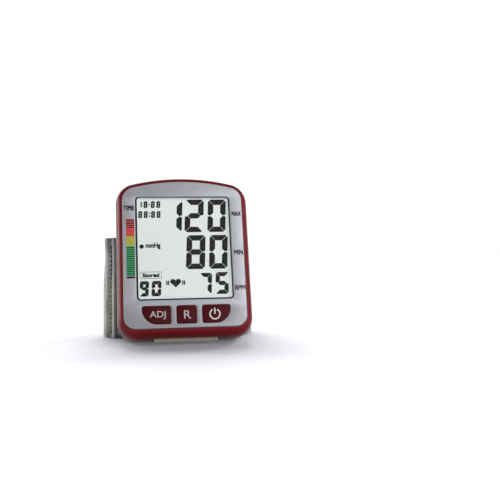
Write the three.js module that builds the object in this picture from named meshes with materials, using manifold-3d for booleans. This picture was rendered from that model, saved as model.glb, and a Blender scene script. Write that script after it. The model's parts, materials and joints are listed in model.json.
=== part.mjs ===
// Wrist blood pressure monitor: a leaning, wedge-shaped housing on a padded wrist cuff that stands on edge.
// Millimetres, +Z up. The face looks towards -Y and leans back; the cuff's ring stands on the floor behind.
// The housing is drawn in face coordinates: x right, y up the face, z out of it, from the display's centre.
import * as THREE from 'three';
import { mergeVertices } from 'three/addons/utils/BufferGeometryUtils.js';
import Module from 'manifold-3d';

const wasm = await Module();
wasm.setup();

// Driving dimensions: face
const FACE_LEAN_DEG = 15.5;
const FLOOR_GAP = 3.0;            // floor to the lowest point of the front shell
const DISPLAY_WIDTH = 47.2;
const DISPLAY_HEIGHT = 52.7;
const DISPLAY_CORNER = 1.2;
const GASKET_WIDTH = 0.6;
const PLATE_HALF_WIDTH = 30.85;
const PLATE_ABOVE = 35.1;         // display centre to the crown of the faceplate
const PLATE_BELOW = 41.0;         // display centre to the lower edge of the faceplate
const PLATE_TOP_CORNER = 7.0;
const PLATE_BOTTOM_CORNER = 6.0;
const CROWN_RADIUS = 105;
const PLATE_THICKNESS = 0.8;

// Driving dimensions: front shell
const RIM_SIDE = 3.25;
const RIM_TOP = 3.2;
const RIM_BOTTOM = 5.0;
const RIM_CORNER = 3.6;           // how much the corner radii grow from the plate to the widest outline
const RIM_DEPTH = 7.5;
const PARTING_DEPTH = 10.0;
const WALL = 2.0;
const FRONT_WALL = 1.2;
const NOTCH_WIDTH = 33;
const NOTCH_HEIGHT = 1.3;
const NOTCH_START = 5.2;          // depth behind the face where the notch opens in the rim

// Driving dimensions: keys and switches
const KEY_GAP = 3.85;             // display to the keys
const KEY_MARGIN = 2.0;           // keys to the faceplate's lower edge
const MEMORY_KEY_WIDTH = 9.7;
const WIDE_KEY_INNER = 8.0;
const WIDE_KEY_OUTER = 21.9;
const KEY_SWEEP = 0.936;          // swept outer corner of the two wide keys, as a share of their height
const KEY_CORNER = 0.9;
const KEY_PROUD = 0.8;
const KEY_BEVEL = 0.3;
const KEY_FLANGE = 0.9;
const KEY_FLANGE_THICKNESS = 1.2;
const KEY_STEM_RADIUS = 2.0;
const KEY_STEM_LENGTH = 0.6;
const KEY_TRAVEL = 0.7;
const SWITCH_SIZE = 6.0;
const PLUNGER_RADIUS = 1.5;
const PLUNGER_SHOWS = 1.0;

// Driving dimensions: display stack and board
const LENS_SINK = 0.2;
const LCD_MARGIN = 1.9;
const LCD_THICKNESS = 2.2;
const BACKLIGHT_INSET = 1.0;
const BACKLIGHT_THICKNESS = 2.5;
const CONNECTOR_HEIGHT = 1.6;
const BOARD_HALF_WIDTH = 24.5;
const BOARD_OVER = 4.6;           // board past the display's upper edge
const BOARD_SHORT = 0.2;          // board's lower edge inside the faceplate's
const BOARD_THICKNESS = 1.2;
const BOARD_CORNER = 3.0;

// Driving dimensions: rear case
const UPPER_DEPTH = 16.0;
const UPPER_EDGE = 2.6;
const CASE_DRAFT = 3.2;           // how far the case's walls draw in over CASE_REACH
const CASE_REACH = 46;
const CASE_FLOOR = 1.9;
const WING_OVERLAP = 5.0;         // how far the wings reach past the front of the cuff
const SADDLE_GAP = 0.4;
const SHELF_GAP = 1.0;
const GRILLE_HOLE_RADIUS = 0.8;
const GRILLE_PITCH = 3.0;
const GRILLE_ROWS = 2;            // rings of holes round the middle one
const SPEAKER_SHARE = 0.4;        // speaker's radius, as a share of the room above the cuff's saddle

// Driving dimensions: fasteners
const BOSS_RADIUS = 2.5;
const SCREW_RADIUS = 1.0;
const SCREW_HEAD_RADIUS = 1.9;
const SCREW_HEAD_HEIGHT = 1.4;
const SCREW_SEAT = 14.2;
const SCREW_END = 5.2;
const UPPER_BOSS_Y = 25.0;
const LOWER_BOSS_Y = -30.5;

// Driving dimensions: batteries
const CELL_RADIUS = 5.25;
const CELL_LENGTH = 43.5;
const CELL_NIPPLE_RADIUS = 1.9;
const CELL_NIPPLE = 0.9;
const SPRING_LENGTH = 2.4;
const SPRING_TURNS = 3;
const SPRING_WIRE = 0.3;
const SPRING_BASE_RADIUS = 3.6;
const SPRING_TIP_RADIUS = 2.0;
const TERMINAL_THICKNESS = 0.4;
const TERMINAL_WIDTH = 8.0;
const DOOR_THICKNESS = 1.5;
const DOOR_MARGIN = 1.9;          // doorway past the ends of the cells
const DOOR_FRONT = 13.2;          // measured back from where the face's plane meets the floor
const DOOR_TAB_THICKNESS = 0.9;

// Driving dimensions: air system
const PUMP_X = 24.4;
const PUMP_RADIUS = 5.3;
const MOTOR_LENGTH = 10;
const PUMP_HEAD_RADIUS = 4.7;
const PUMP_HEAD_LENGTH = 7;
const SHAFT_RADIUS = 0.9;
const CRANK_RADIUS = 2.4;
const CRANK_THROW = 0.8;
const CRANK_THICKNESS = 2.6;
const VALVE_RADIUS = 4.7;
const VALVE_LENGTH = 12;
const VALVE_PLUNGER_RADIUS = 1.4;
const VALVE_PLUNGER_LENGTH = 5.5;
const VALVE_STROKE = 0.8;
const BARB_RADIUS = 0.9;
const BARB_LENGTH = 3.0;
const TUBE_RADIUS = 1.8;
const TUBE_BORE = 1.2;
const MANIFOLD_WIDTH = 9;
const MANIFOLD_HEIGHT = 7;
const MANIFOLD_DEPTH = 4.6;
const MANIFOLD_Z = 38.5;
const SENSOR_SIZE = 6;
const SENSOR_THICKNESS = 2.2;
const SENSOR_PLACE = [11, 6];
const NOZZLE_RADIUS = 2.0;
const NOZZLE_BORE = 1.0;

// Driving dimensions: cuff and strap
const CUFF_HEIGHT = 54.6;
const CUFF_HALF_WIDTH = 38.0;     // ellipse of the cover's outside
const CUFF_HALF_DEPTH = 25.0;
const CUFF_BEHIND = 30.7;         // where the face's plane meets the floor, to the front of the cuff
const CUFF_LEFT_END = -95;        // angles round the ring in degrees, from the front, + to the right
const CUFF_RIGHT_END = 165;
const COVER_THICKNESS = 1.4;
const FORMER_THICKNESS = 1.0;
const FORMER_MARGIN = 2.5;
const BLADDER_EDGE = 1.0;
const BLADDER_CROWN = 2.6;
const BLADDER_MARGIN = 6.0;
const LINING_THICKNESS = 1.2;
const PIPING_HEIGHT = 1.3;
const STRAP_THICKNESS = 2.0;
const STRAP_INSET = 0.6;          // strap's edges inside the cuff's edges
const STRAP_RIGHT_EDGE = 65;
const STRAP_HINGE = 171.4;
const STRAP_LEFT_EDGE = 295;
const STRAP_SPLIT = 0.8;          // width of the split at the hinge
const HOOK_THICKNESS = 0.8;
const HOOK_START = 268;
const HOOK_MARGIN = 4.0;
const CUFF_SCREW_X = 9.0;
const CUFF_SCREW_DROP = 4.0;
const CUFF_SCREW_LENGTH = 4.6;
const CLOTH_EDGE = 0.4;           // softened corners of the cloth bands

// Facets
const ARC_STEPS = 4;              // straight pieces in a round corner
const RIM_STATIONS = [0, 0.033, 0.12, 0.27, 0.48, 0.72, 1];   // shares of the rim's depth
const RING_STEP = 8;              // degrees between the stations round the cuff

// Clearances
const SEAT = 0.3;                 // between a piece and what it rests on
const FIT = 0.12;                 // round a piece that drops into an opening
const SLIDE = 0.3;                // round a key, a plunger or a shaft

// Shared places
const LEAN = THREE.MathUtils.degToRad(FACE_LEAN_DEG);
const SHELL_FRONT = -PLATE_THICKNESS - SEAT;
const SHELL_BACK = SHELL_FRONT - FRONT_WALL;
const HALF_WIDTH = PLATE_HALF_WIDTH + FIT + RIM_SIDE;
const LOWEST = PLATE_BELOW + FIT + RIM_BOTTOM;
const KEY_TOP = -DISPLAY_HEIGHT / 2 - KEY_GAP;
const KEY_BOTTOM = -PLATE_BELOW + KEY_MARGIN;
const BOARD_ABOVE = DISPLAY_HEIGHT / 2 + BOARD_OVER;
const BOARD_BELOW = PLATE_BELOW - BOARD_SHORT;
const FACE_Z = FLOOR_GAP + LOWEST * Math.cos(LEAN) + RIM_DEPTH * Math.sin(LEAN);
const FACE_Y = FACE_Z * Math.tan(LEAN);
const LENS_BACK = SHELL_BACK + SEAT;
const LCD_FRONT = SHELL_BACK - SEAT;
const BACKLIGHT_FRONT = LCD_FRONT - LCD_THICKNESS - SEAT;
const BOARD_FRONT = BACKLIGHT_FRONT - BACKLIGHT_THICKNESS - SEAT;
const BOARD_BACK = BOARD_FRONT - BOARD_THICKNESS;
const CUFF_Y = CUFF_BEHIND + CUFF_HALF_DEPTH;

// Materials, one for each finish
const finish = (color, roughness, metalness = 0, extra = {}) =>
  new THREE.MeshStandardMaterial({ color, roughness, metalness, ...extra });
const BURGUNDY = () => finish(0x5e141b, 0.35);
const SILVER = () => finish(0xa9adb3, 0.4, 0.5);
const GREY_PLASTIC = () => finish(0x9a9a98, 0.55);
const BLACK_RUBBER = () => finish(0x24262a, 0.7);
const CLEAR = () => finish(0xf2f6f5, 0.05, 0, { transparent: true, opacity: 0.25 });
const LCD_GLASS = () => finish(0xdde1e0, 0.3);
const WHITE_PLASTIC = () => finish(0xeeeeea, 0.5);
const BOARD_GREEN = () => finish(0x2c6b45, 0.6);
const STEEL = () => finish(0xb9bcc0, 0.3, 1);
const SILICONE = () => finish(0xd9dcd8, 0.6);
const CELL_JACKET = () => finish(0x3d4a57, 0.4, 0.3);
const CHARCOAL_CLOTH = () => finish(0x4b4c4d, 0.95);
const GREY_CLOTH = () => finish(0x8d8d88, 0.95);

// Solids

/** Turns a closed geometry into a solid that can be joined and cut. */
function solid(geometry) {
  const bare = geometry.index ? geometry.toNonIndexed() : geometry.clone();
  for (const name of Object.keys(bare.attributes)) {
    if (name !== 'position') bare.deleteAttribute(name);
  }
  const merged = mergeVertices(bare, 1e-4);
  return new wasm.Manifold(new wasm.Mesh({
    numProp: 3,
    vertProperties: new Float32Array(merged.attributes.position.array),
    triVerts: new Uint32Array(merged.index.array),
  }));
}

/** Turns a solid back into a geometry with flat facets. */
function geometryOf(body) {
  const mesh = body.getMesh();
  const geometry = new THREE.BufferGeometry();
  geometry.setAttribute('position', new THREE.BufferAttribute(new Float32Array(mesh.vertProperties), 3));
  geometry.setIndex(new THREE.BufferAttribute(new Uint32Array(mesh.triVerts), 1));
  const flat = geometry.toNonIndexed();
  flat.computeVertexNormals();
  return flat;
}

const join = (...bodies) => bodies.reduce((sum, next) => sum.add(next));
const cut = (body, ...tools) => tools.reduce((rest, tool) => rest.subtract(tool), body);

/** A block between two corners. */
function block(x0, x1, y0, y1, z0, z1) {
  const geometry = new THREE.BoxGeometry(x1 - x0, y1 - y0, z1 - z0);
  return solid(geometry.translate((x0 + x1) / 2, (y0 + y1) / 2, (z0 + z1) / 2));
}

/** A prism of a 2D shape between two heights, with an optional bevel inside both ends. */
function prism(shape, z0, z1, bevel = 0) {
  const geometry = new THREE.ExtrudeGeometry(shape, {
    depth: z1 - z0 - 2 * bevel, curveSegments: ARC_STEPS, bevelEnabled: bevel > 0,
    bevelThickness: bevel, bevelSize: bevel, bevelOffset: -bevel, bevelSegments: 1,
  });
  return solid(geometry.translate(0, 0, z0 + bevel));
}

/** A round rod along an axis, from one height to the other. */
function rod(axis, radius, from, to, place = [0, 0, 0], sides = 20) {
  const geometry = new THREE.CylinderGeometry(radius, radius, Math.abs(to - from), sides);
  geometry.translate(0, (from + to) / 2, 0);
  if (axis === 'z') geometry.rotateX(Math.PI / 2);
  if (axis === 'x') geometry.rotateZ(-Math.PI / 2);
  return solid(geometry.translate(...place));
}

/** Joins rings of equal point counts into a closed skin with flat end caps, faces outwards. */
function loft(rings) {
  const count = rings[0].length;
  const points = rings.flat();
  const triangles = [];
  for (let ring = 0; ring + 1 < rings.length; ring += 1) {
    for (let i = 0; i < count; i += 1) {
      const a = ring * count + i;
      const b = ring * count + ((i + 1) % count);
      triangles.push([a, b, b + count], [a, b + count, a + count]);
    }
  }
  const last = (rings.length - 1) * count;
  for (const [i, j, k] of capFaces(rings[0])) triangles.push([i, k, j]);
  for (const [i, j, k] of capFaces(rings[0])) triangles.push([last + i, last + j, last + k]);
  let volume = 0;
  for (const [i, j, k] of triangles) {
    volume += points[i].dot(new THREE.Vector3().crossVectors(points[j], points[k]));
  }
  const geometry = new THREE.BufferGeometry().setFromPoints(points);
  geometry.setIndex((volume > 0 ? triangles : triangles.map(([i, j, k]) => [i, k, j])).flat());
  return geometry;
}

/** Triangles that fill a flat ring. */
function capFaces(ring) {
  const normal = new THREE.Vector3();
  ring.forEach((p, i) => normal.add(new THREE.Vector3().crossVectors(p, ring[(i + 1) % ring.length])));
  normal.normalize();
  const turn = new THREE.Quaternion().setFromUnitVectors(normal, new THREE.Vector3(0, 0, 1));
  const flat = ring.map((p) => {
    const q = p.clone().applyQuaternion(turn);
    return new THREE.Vector2(q.x, q.y);
  });
  return THREE.ShapeUtils.triangulateShape(flat, []);
}

/** A rounded rectangle as a shape. */
function roundedRect(width, height, radius, cx = 0, cy = 0) {
  const [x, y] = [cx - width / 2, cy - height / 2];
  const shape = new THREE.Shape();
  shape.moveTo(x + radius, y);
  shape.lineTo(x + width - radius, y);
  shape.absarc(x + width - radius, y + radius, radius, -Math.PI / 2, 0);
  shape.lineTo(x + width, y + height - radius);
  shape.absarc(x + width - radius, y + height - radius, radius, 0, Math.PI / 2);
  shape.lineTo(x + radius, y + height);
  shape.absarc(x + radius, y + height - radius, radius, Math.PI / 2, Math.PI);
  shape.lineTo(x, y + radius);
  shape.absarc(x + radius, y + radius, radius, Math.PI, Math.PI * 1.5);
  return shape;
}

// Housing outline

/** The face's outline, grown from the faceplate: straight sides, round corners and a crowned top. */
function facePoints({ side = 0, top = 0, bottom = 0, corner = 0 }) {
  const half = PLATE_HALF_WIDTH + side;
  const high = PLATE_ABOVE + top;
  const low = -PLATE_BELOW - bottom;
  const topCorner = PLATE_TOP_CORNER + corner;
  const lowCorner = PLATE_BOTTOM_CORNER + corner;
  const crown = CROWN_RADIUS + top;
  const crownY = high - crown;
  const cornerX = half - topCorner;
  const cornerY = crownY + Math.sqrt((crown - topCorner) ** 2 - cornerX ** 2);
  const meet = Math.atan2(cornerY - crownY, cornerX);
  const arcs = [
    [half - lowCorner, low + lowCorner, lowCorner, -Math.PI / 2, 0, 6],
    [cornerX, cornerY, topCorner, 0, meet, 6],
    [0, crownY, crown, meet, Math.PI - meet, 8],
    [-cornerX, cornerY, topCorner, Math.PI - meet, Math.PI, 6],
    [-half + lowCorner, low + lowCorner, lowCorner, Math.PI, Math.PI * 1.5, 6],
  ];
  const points = [];
  for (const [x, y, radius, from, to, steps] of arcs) {
    for (let i = 0; i < steps; i += 1) {
      const angle = from + ((to - from) * i) / (steps - 1);
      const next = new THREE.Vector2(x + radius * Math.cos(angle), y + radius * Math.sin(angle));
      if (!points.length || points.at(-1).distanceTo(next) > 1e-6) points.push(next);
    }
  }
  return points;
}

const plateShape = (grow = 0) =>
  new THREE.Shape(facePoints({ side: grow, top: grow, bottom: grow, corner: grow }));

/** The housing's outline as a ring at a height, at a share of the rim's spread, drawn in by an inset. */
function housingRing(z, spread, inset = 0) {
  const points = facePoints({
    side: FIT + RIM_SIDE * spread - inset,
    top: FIT + RIM_TOP * spread - inset,
    bottom: FIT + RIM_BOTTOM * spread - inset,
    corner: FIT + RIM_CORNER * spread - inset,
  });
  return points.map((p) => new THREE.Vector3(p.x, p.y, z));
}

/** How far the rounded rim has spread at a depth behind the face, from 0 to 1. */
const rimSpread = (depth) => Math.sqrt(1 - (1 - Math.min(depth, RIM_DEPTH) / RIM_DEPTH) ** 2);

// Frames
const group = new THREE.Group();
const housing = new THREE.Group();
housing.position.set(0, FACE_Y, FACE_Z);
housing.rotation.x = Math.PI / 2 - LEAN;
housing.updateMatrix();
const toHousing = housing.matrix.clone().invert();
const cuff = new THREE.Group();
cuff.position.set(0, CUFF_Y, 0);
group.add(housing, cuff);

/** Adds a named piece to a group. */
function addPiece(parent, name, shape, material) {
  const mesh = new THREE.Mesh(shape.isBufferGeometry ? shape : geometryOf(shape), material);
  mesh.name = name;
  parent.add(mesh);
}

/** Moves a solid drawn in the part's own frame into face coordinates. */
const inFace = (body) => solid(geometryOf(body).applyMatrix4(toHousing));

// Cuff ring: offsets run outwards from the cover's outside

/** A point on the ring at an angle in degrees, an offset outwards and a height. */
function ringPoint(degrees, offset, z) {
  const angle = THREE.MathUtils.degToRad(degrees);
  const x = CUFF_HALF_WIDTH * Math.sin(angle);
  const y = -CUFF_HALF_DEPTH * Math.cos(angle);
  const normal = new THREE.Vector2(x / CUFF_HALF_WIDTH ** 2, y / CUFF_HALF_DEPTH ** 2).normalize();
  return new THREE.Vector3(x + normal.x * offset, y + normal.y * offset, z);
}

/** A band round the ring: a section of [offset, height] points swept between two angles. */
function band(from, to, section, steps, shift = () => 0) {
  const rings = [];
  for (let i = 0; i <= steps; i += 1) {
    const angle = from + ((to - from) * i) / steps;
    rings.push(section.map(([offset, z]) => ringPoint(angle, offset + shift(angle), z)));
  }
  return loft(rings);
}

/** A band's section with plain sides and softened edges. */
function flatSection(inner, outer, low, high, soft = CLOTH_EDGE) {
  return [
    [inner, low + soft], [inner + soft, low], [outer - soft, low], [outer, low + soft],
    [outer, high - soft], [outer - soft, high], [inner + soft, high], [inner, high - soft],
  ];
}

/** A band's section whose inner side swells to a crown between its edges. */
function crownedSection(outer, edge, crown, low, high, steps = 6) {
  const inner = [];
  for (let i = 0; i <= steps; i += 1) {
    const share = i / steps;
    const swell = edge + (crown - edge) * Math.sin(Math.PI * share) ** 0.7;
    inner.push([outer - swell, low + (high - low) * share]);
  }
  return [[outer, high], [outer, low], ...inner];
}

/** The solid elliptic column of the ring at an offset, in the part's own frame. */
function ringColumn(offset, low, high) {
  const points = [];
  for (let degrees = 0; degrees < 360; degrees += 6) {
    const p = ringPoint(degrees, offset, 0);
    points.push(new THREE.Vector2(p.x, p.y + CUFF_Y));
  }
  return prism(new THREE.Shape(points), low, high);
}

// Face pieces

/** The outline of a key, grown by a gap: 0 the memory key, -1 the left wide key, 1 the right wide key. */
function keyShape(hand, grow = 0) {
  const top = KEY_TOP + grow;
  const low = KEY_BOTTOM - grow;
  if (hand === 0) {
    return roundedRect(MEMORY_KEY_WIDTH + 2 * grow, top - low, KEY_CORNER + grow, 0, (top + low) / 2);
  }
  const near = WIDE_KEY_INNER - grow;
  const far = WIDE_KEY_OUTER + grow;
  const sweep = KEY_SWEEP * (KEY_TOP - KEY_BOTTOM - KEY_CORNER) + grow;
  const corner = KEY_CORNER + grow;
  const shape = new THREE.Shape();
  shape.moveTo(near + corner, low);
  shape.lineTo(far - sweep, low);
  shape.absarc(far - sweep, low + sweep, sweep, -Math.PI / 2, 0);
  shape.lineTo(far, top - corner);
  shape.absarc(far - corner, top - corner, corner, 0, Math.PI / 2);
  shape.lineTo(near + corner, top);
  shape.absarc(near + corner, top - corner, corner, Math.PI / 2, Math.PI);
  shape.lineTo(near, low + corner);
  shape.absarc(near + corner, low + corner, corner, Math.PI, Math.PI * 1.5);
  if (hand > 0) return shape;
  return new THREE.Shape(shape.getPoints(ARC_STEPS).map((p) => new THREE.Vector2(-p.x, p.y)).reverse());
}

const KEYS = [['set', -1], ['memory', 0], ['power', 1]];
const KEY_MIDDLE_Y = (KEY_TOP + KEY_BOTTOM) / 2;
const keyMiddle = (hand) => hand * ((WIDE_KEY_INNER + WIDE_KEY_OUTER) / 2);
const windowShape = (grow) =>
  roundedRect(DISPLAY_WIDTH + 2 * grow, DISPLAY_HEIGHT + 2 * grow, DISPLAY_CORNER + grow);
const GASKET_OUT = FIT + GASKET_WIDTH;
const WINDOW_OUT = GASKET_OUT + FIT;
const BAY_HALF = CELL_LENGTH / 2 + SEAT + SPRING_LENGTH + FIT + TERMINAL_THICKNESS;
const BOSS_X = Math.max(DISPLAY_WIDTH / 2 + LCD_MARGIN, BAY_HALF) + SEAT + BOSS_RADIUS;
const BOSSES = [UPPER_BOSS_Y, LOWER_BOSS_Y].flatMap((y) => [[BOSS_X, y], [-BOSS_X, y]]);

/** The openings for the display and the keys, through a layer of the face. */
function faceOpenings(low, high) {
  return [prism(windowShape(WINDOW_OUT), low, high),
    ...KEYS.map(([, hand]) => prism(keyShape(hand, SLIDE), low, high))];
}

function frontShell() {
  const rings = RIM_STATIONS.map((share) => housingRing(-share * RIM_DEPTH, rimSpread(share * RIM_DEPTH)));
  rings.push(housingRing(-PARTING_DEPTH, 1));
  const outer = solid(loft(rings));
  const cavity = solid(loft([
    housingRing(SHELL_BACK, rimSpread(-SHELL_BACK), WALL),
    housingRing(-RIM_DEPTH, 1, WALL),
    housingRing(-PARTING_DEPTH - WALL, 1, WALL),
  ]));
  const bosses = BOSSES.map(([x, y]) =>
    rod('z', BOSS_RADIUS, -PARTING_DEPTH, SHELL_FRONT - FRONT_WALL / 2, [x, y, 0]));
  const pilots = BOSSES.map(([x, y]) =>
    rod('z', SCREW_RADIUS + SLIDE, -PARTING_DEPTH - 1, -SCREW_END + SEAT, [x, y, 0]));
  const notch = block(-NOTCH_WIDTH / 2, NOTCH_WIDTH / 2, -LOWEST - 1, -LOWEST + NOTCH_HEIGHT,
    -PARTING_DEPTH - 1, -NOTCH_START);
  const recess = prism(plateShape(FIT), SHELL_FRONT, 1);
  const body = join(cut(outer, cavity), ...bosses.map((boss) => boss.intersect(outer)));
  return cut(body, recess, notch, ...pilots, ...faceOpenings(-PARTING_DEPTH, 1));
}

addPiece(housing, 'front_shell', frontShell(), BURGUNDY());
addPiece(housing, 'faceplate',
  cut(prism(plateShape(), -PLATE_THICKNESS, 0), ...faceOpenings(-PLATE_THICKNESS - 1, 1)), SILVER());
addPiece(housing, 'display_gasket',
  cut(prism(windowShape(GASKET_OUT), LENS_BACK, -LENS_SINK), prism(windowShape(FIT), LENS_BACK - 1, 1)),
  BLACK_RUBBER());
addPiece(housing, 'display_lens', prism(windowShape(0), LENS_BACK, -LENS_SINK), CLEAR());
addPiece(housing, 'lcd_panel',
  prism(roundedRect(DISPLAY_WIDTH + 2 * LCD_MARGIN, DISPLAY_HEIGHT + 2 * LCD_MARGIN, DISPLAY_CORNER),
    LCD_FRONT - LCD_THICKNESS, LCD_FRONT), LCD_GLASS());
const BACKLIGHT_HALF = DISPLAY_HEIGHT / 2 + LCD_MARGIN - BACKLIGHT_INSET - CONNECTOR_HEIGHT;
const CONNECTOR_LOW = BACKLIGHT_HALF + SEAT;
const BOARD_MIDDLE = (BOARD_ABOVE - BOARD_BELOW) / 2;
addPiece(housing, 'backlight',
  prism(roundedRect(DISPLAY_WIDTH, 2 * BACKLIGHT_HALF, DISPLAY_CORNER),
    BOARD_FRONT + SEAT, BACKLIGHT_FRONT), WHITE_PLASTIC());
addPiece(housing, 'lcd_connector',
  block(-DISPLAY_WIDTH / 2, DISPLAY_WIDTH / 2, CONNECTOR_LOW, CONNECTOR_LOW + CONNECTOR_HEIGHT,
    BOARD_FRONT + SEAT, BACKLIGHT_FRONT), SILICONE());
addPiece(housing, 'main_board',
  prism(roundedRect(2 * BOARD_HALF_WIDTH, BOARD_ABOVE + BOARD_BELOW, BOARD_CORNER, 0, BOARD_MIDDLE),
    BOARD_BACK, BOARD_FRONT), BOARD_GREEN());

// Keys, each with the plunger of the switch that it presses
const FLANGE_TOP = SHELL_BACK - SEAT;
const STEM_END = FLANGE_TOP - KEY_FLANGE_THICKNESS - KEY_STEM_LENGTH;
const PLUNGER_TOP = STEM_END - SEAT;
const SWITCH_TOP = PLUNGER_TOP - PLUNGER_SHOWS;
const SWITCH_LOW = BOARD_FRONT + SEAT;
const PLUNGER_END = SWITCH_LOW + SEAT + KEY_TRAVEL;
for (const [label, hand] of KEYS) {
  const place = [keyMiddle(hand), KEY_MIDDLE_Y, 0];
  const key = join(prism(keyShape(hand), FLANGE_TOP - KEY_BEVEL, KEY_PROUD, KEY_BEVEL),
    prism(keyShape(hand, KEY_FLANGE), FLANGE_TOP - KEY_FLANGE_THICKNESS, FLANGE_TOP),
    rod('z', KEY_STEM_RADIUS, STEM_END, FLANGE_TOP - KEY_FLANGE_THICKNESS / 2, place));
  addPiece(housing, `key_${label}`, key, BURGUNDY());
  addPiece(housing, `switch_plunger_${label}`,
    rod('z', PLUNGER_RADIUS, PLUNGER_END, PLUNGER_TOP, place, 12), BLACK_RUBBER());
  const base = prism(roundedRect(SWITCH_SIZE, SWITCH_SIZE, SWITCH_SIZE / 12, place[0], place[1]),
    SWITCH_LOW, SWITCH_TOP);
  const well = rod('z', PLUNGER_RADIUS + SLIDE, SWITCH_LOW + SEAT / 2, SWITCH_TOP + 1, place, 12);
  addPiece(housing, `switch_base_${label}`, cut(base, well), BLACK_RUBBER());
}

// Rear case: a shallow upper box, and a deep lower one whose back is scooped out to saddle the cuff
const CASE_FRONT = -PARTING_DEPTH - SEAT;
const CASE_INSIDE = CASE_FRONT + 1;
const WING_BACK = CUFF_BEHIND + WING_OVERLAP;
const SADDLE_TOP = CUFF_HEIGHT + SHELF_GAP;
const DOOR_WIDTH = CELL_LENGTH + 2 * DOOR_MARGIN;
const SPEAKER_BACK = -UPPER_DEPTH + WALL + SEAT;
const SPEAKER_LOW = (SADDLE_TOP + WALL + SEAT - FACE_Z - SPEAKER_BACK * Math.sin(LEAN)) / Math.cos(LEAN);
const SPEAKER_RADIUS = SPEAKER_SHARE * (PLATE_ABOVE - SPEAKER_LOW);
const SPEAKER_Y = SPEAKER_LOW + SPEAKER_RADIUS + SEAT;
const SPEAKER_HOLES = (() => {
  const holes = [[0, 0]];
  for (let ring = 1; ring <= GRILLE_ROWS; ring += 1) {
    for (let i = 0; i < 6 * ring; i += 1) {
      const angle = (i * Math.PI) / (3 * ring);
      holes.push([ring * GRILLE_PITCH * Math.cos(angle), ring * GRILLE_PITCH * Math.sin(angle)]);
    }
  }
  return holes;
})();

/** The case's filled form, drawn in by an inset, which leaves the front open when it starts inside. */
function caseForm(inset, front) {
  const draft = (depth) => inset + (CASE_DRAFT * (depth - PARTING_DEPTH)) / CASE_REACH;
  const deep = solid(loft([housingRing(front, 1, inset), housingRing(-CASE_REACH, 1, draft(CASE_REACH))]));
  const limits = inFace(block(-HALF_WIDTH * 2, HALF_WIDTH * 2, -CASE_REACH, WING_BACK - inset,
    CASE_FLOOR + inset, SADDLE_TOP + WALL - inset));
  const back = UPPER_DEPTH - inset;
  const upper = solid(loft([housingRing(front, 1, inset),
    housingRing(-back + UPPER_EDGE, 1, draft(UPPER_DEPTH)),
    housingRing(-back + UPPER_EDGE * 0.3, 1, draft(UPPER_DEPTH) + UPPER_EDGE * 0.3),
    housingRing(-back, 1, draft(UPPER_DEPTH) + UPPER_EDGE)]));
  const aboveFloor = inFace(block(-HALF_WIDTH * 2, HALF_WIDTH * 2, -CASE_REACH, CASE_REACH * 2,
    CASE_FLOOR + inset, FACE_Z * 3));
  return join(deep.intersect(limits), upper.intersect(aboveFloor));
}

// Battery bay: two cells across the housing, one over the other, behind the board
const boardBackAt = (z) => FACE_Y + (z - FACE_Z) * Math.tan(LEAN) - BOARD_BACK / Math.cos(LEAN);
const LOWER_CELL_Z = CASE_FLOOR + DOOR_THICKNESS + SEAT + CELL_RADIUS;
const UPPER_CELL_Z = LOWER_CELL_Z + 2 * CELL_RADIUS + SEAT;
const cellY = (z) => boardBackAt(z + CELL_RADIUS) + SEAT + CELL_RADIUS;
const DOOR_BACK = Math.max(cellY(LOWER_CELL_Z), cellY(UPPER_CELL_Z)) + CELL_RADIUS - SEAT;
const HINGE_Y = DOOR_BACK - FIT;
const nozzleHole = (radius) => rod('y', radius,
  CUFF_BEHIND - CUFF_HALF_DEPTH / 2, CUFF_BEHIND + CUFF_HALF_DEPTH / 4, [0, 0, MANIFOLD_Z]);
const CUFF_SCREW_Z = CUFF_HEIGHT - CUFF_SCREW_DROP;
const CUFF_SCREWS = [[1, -CUFF_SCREW_X], [2, CUFF_SCREW_X]];
const screwHole = ([, x], radius) => rod('y', radius,
  CUFF_BEHIND - CUFF_SCREW_LENGTH, CUFF_BEHIND + CUFF_SCREW_LENGTH, [x, 0, CUFF_SCREW_Z], 12);

function rearCase() {
  const outer = cut(caseForm(0, CASE_FRONT), inFace(ringColumn(SADDLE_GAP, -1, SADDLE_TOP)));
  const inner = cut(caseForm(WALL, CASE_INSIDE),
    inFace(ringColumn(SADDLE_GAP + WALL, -1, SADDLE_TOP + WALL)));
  const bosses = BOSSES.map(([x, y]) =>
    rod('z', BOSS_RADIUS, -CASE_REACH, CASE_FRONT, [x, y, 0]).intersect(outer));
  const holes = BOSSES.flatMap(([x, y]) => [
    rod('z', SCREW_RADIUS + SLIDE, -CASE_REACH, 0, [x, y, 0], 12),
    rod('z', SCREW_HEAD_RADIUS + SLIDE, -CASE_REACH, -SCREW_SEAT, [x, y, 0])]);
  const grille = SPEAKER_HOLES.map(([x, y]) =>
    rod('z', GRILLE_HOLE_RADIUS, -UPPER_DEPTH - 1, -UPPER_DEPTH + WALL + 1, [x, SPEAKER_Y + y, 0], 8));
  const doorway = inFace(block(-DOOR_WIDTH / 2, DOOR_WIDTH / 2, DOOR_FRONT, DOOR_BACK, 0,
    CASE_FLOOR + WALL + 1));
  const tabWay = inFace(block(-NOTCH_WIDTH / 2, NOTCH_WIDTH / 2, 0, DOOR_FRONT + 1, 0,
    CASE_FLOOR + DOOR_TAB_THICKNESS + SEAT));
  const body = join(cut(outer, inner), ...bosses);
  return cut(body, ...holes, ...grille, doorway, tabWay, inFace(nozzleHole(NOZZLE_RADIUS + SLIDE)),
    ...CUFF_SCREWS.map((screw) => inFace(screwHole(screw, SCREW_RADIUS + SLIDE))));
}
addPiece(housing, 'rear_case', rearCase(), GREY_PLASTIC());

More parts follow.
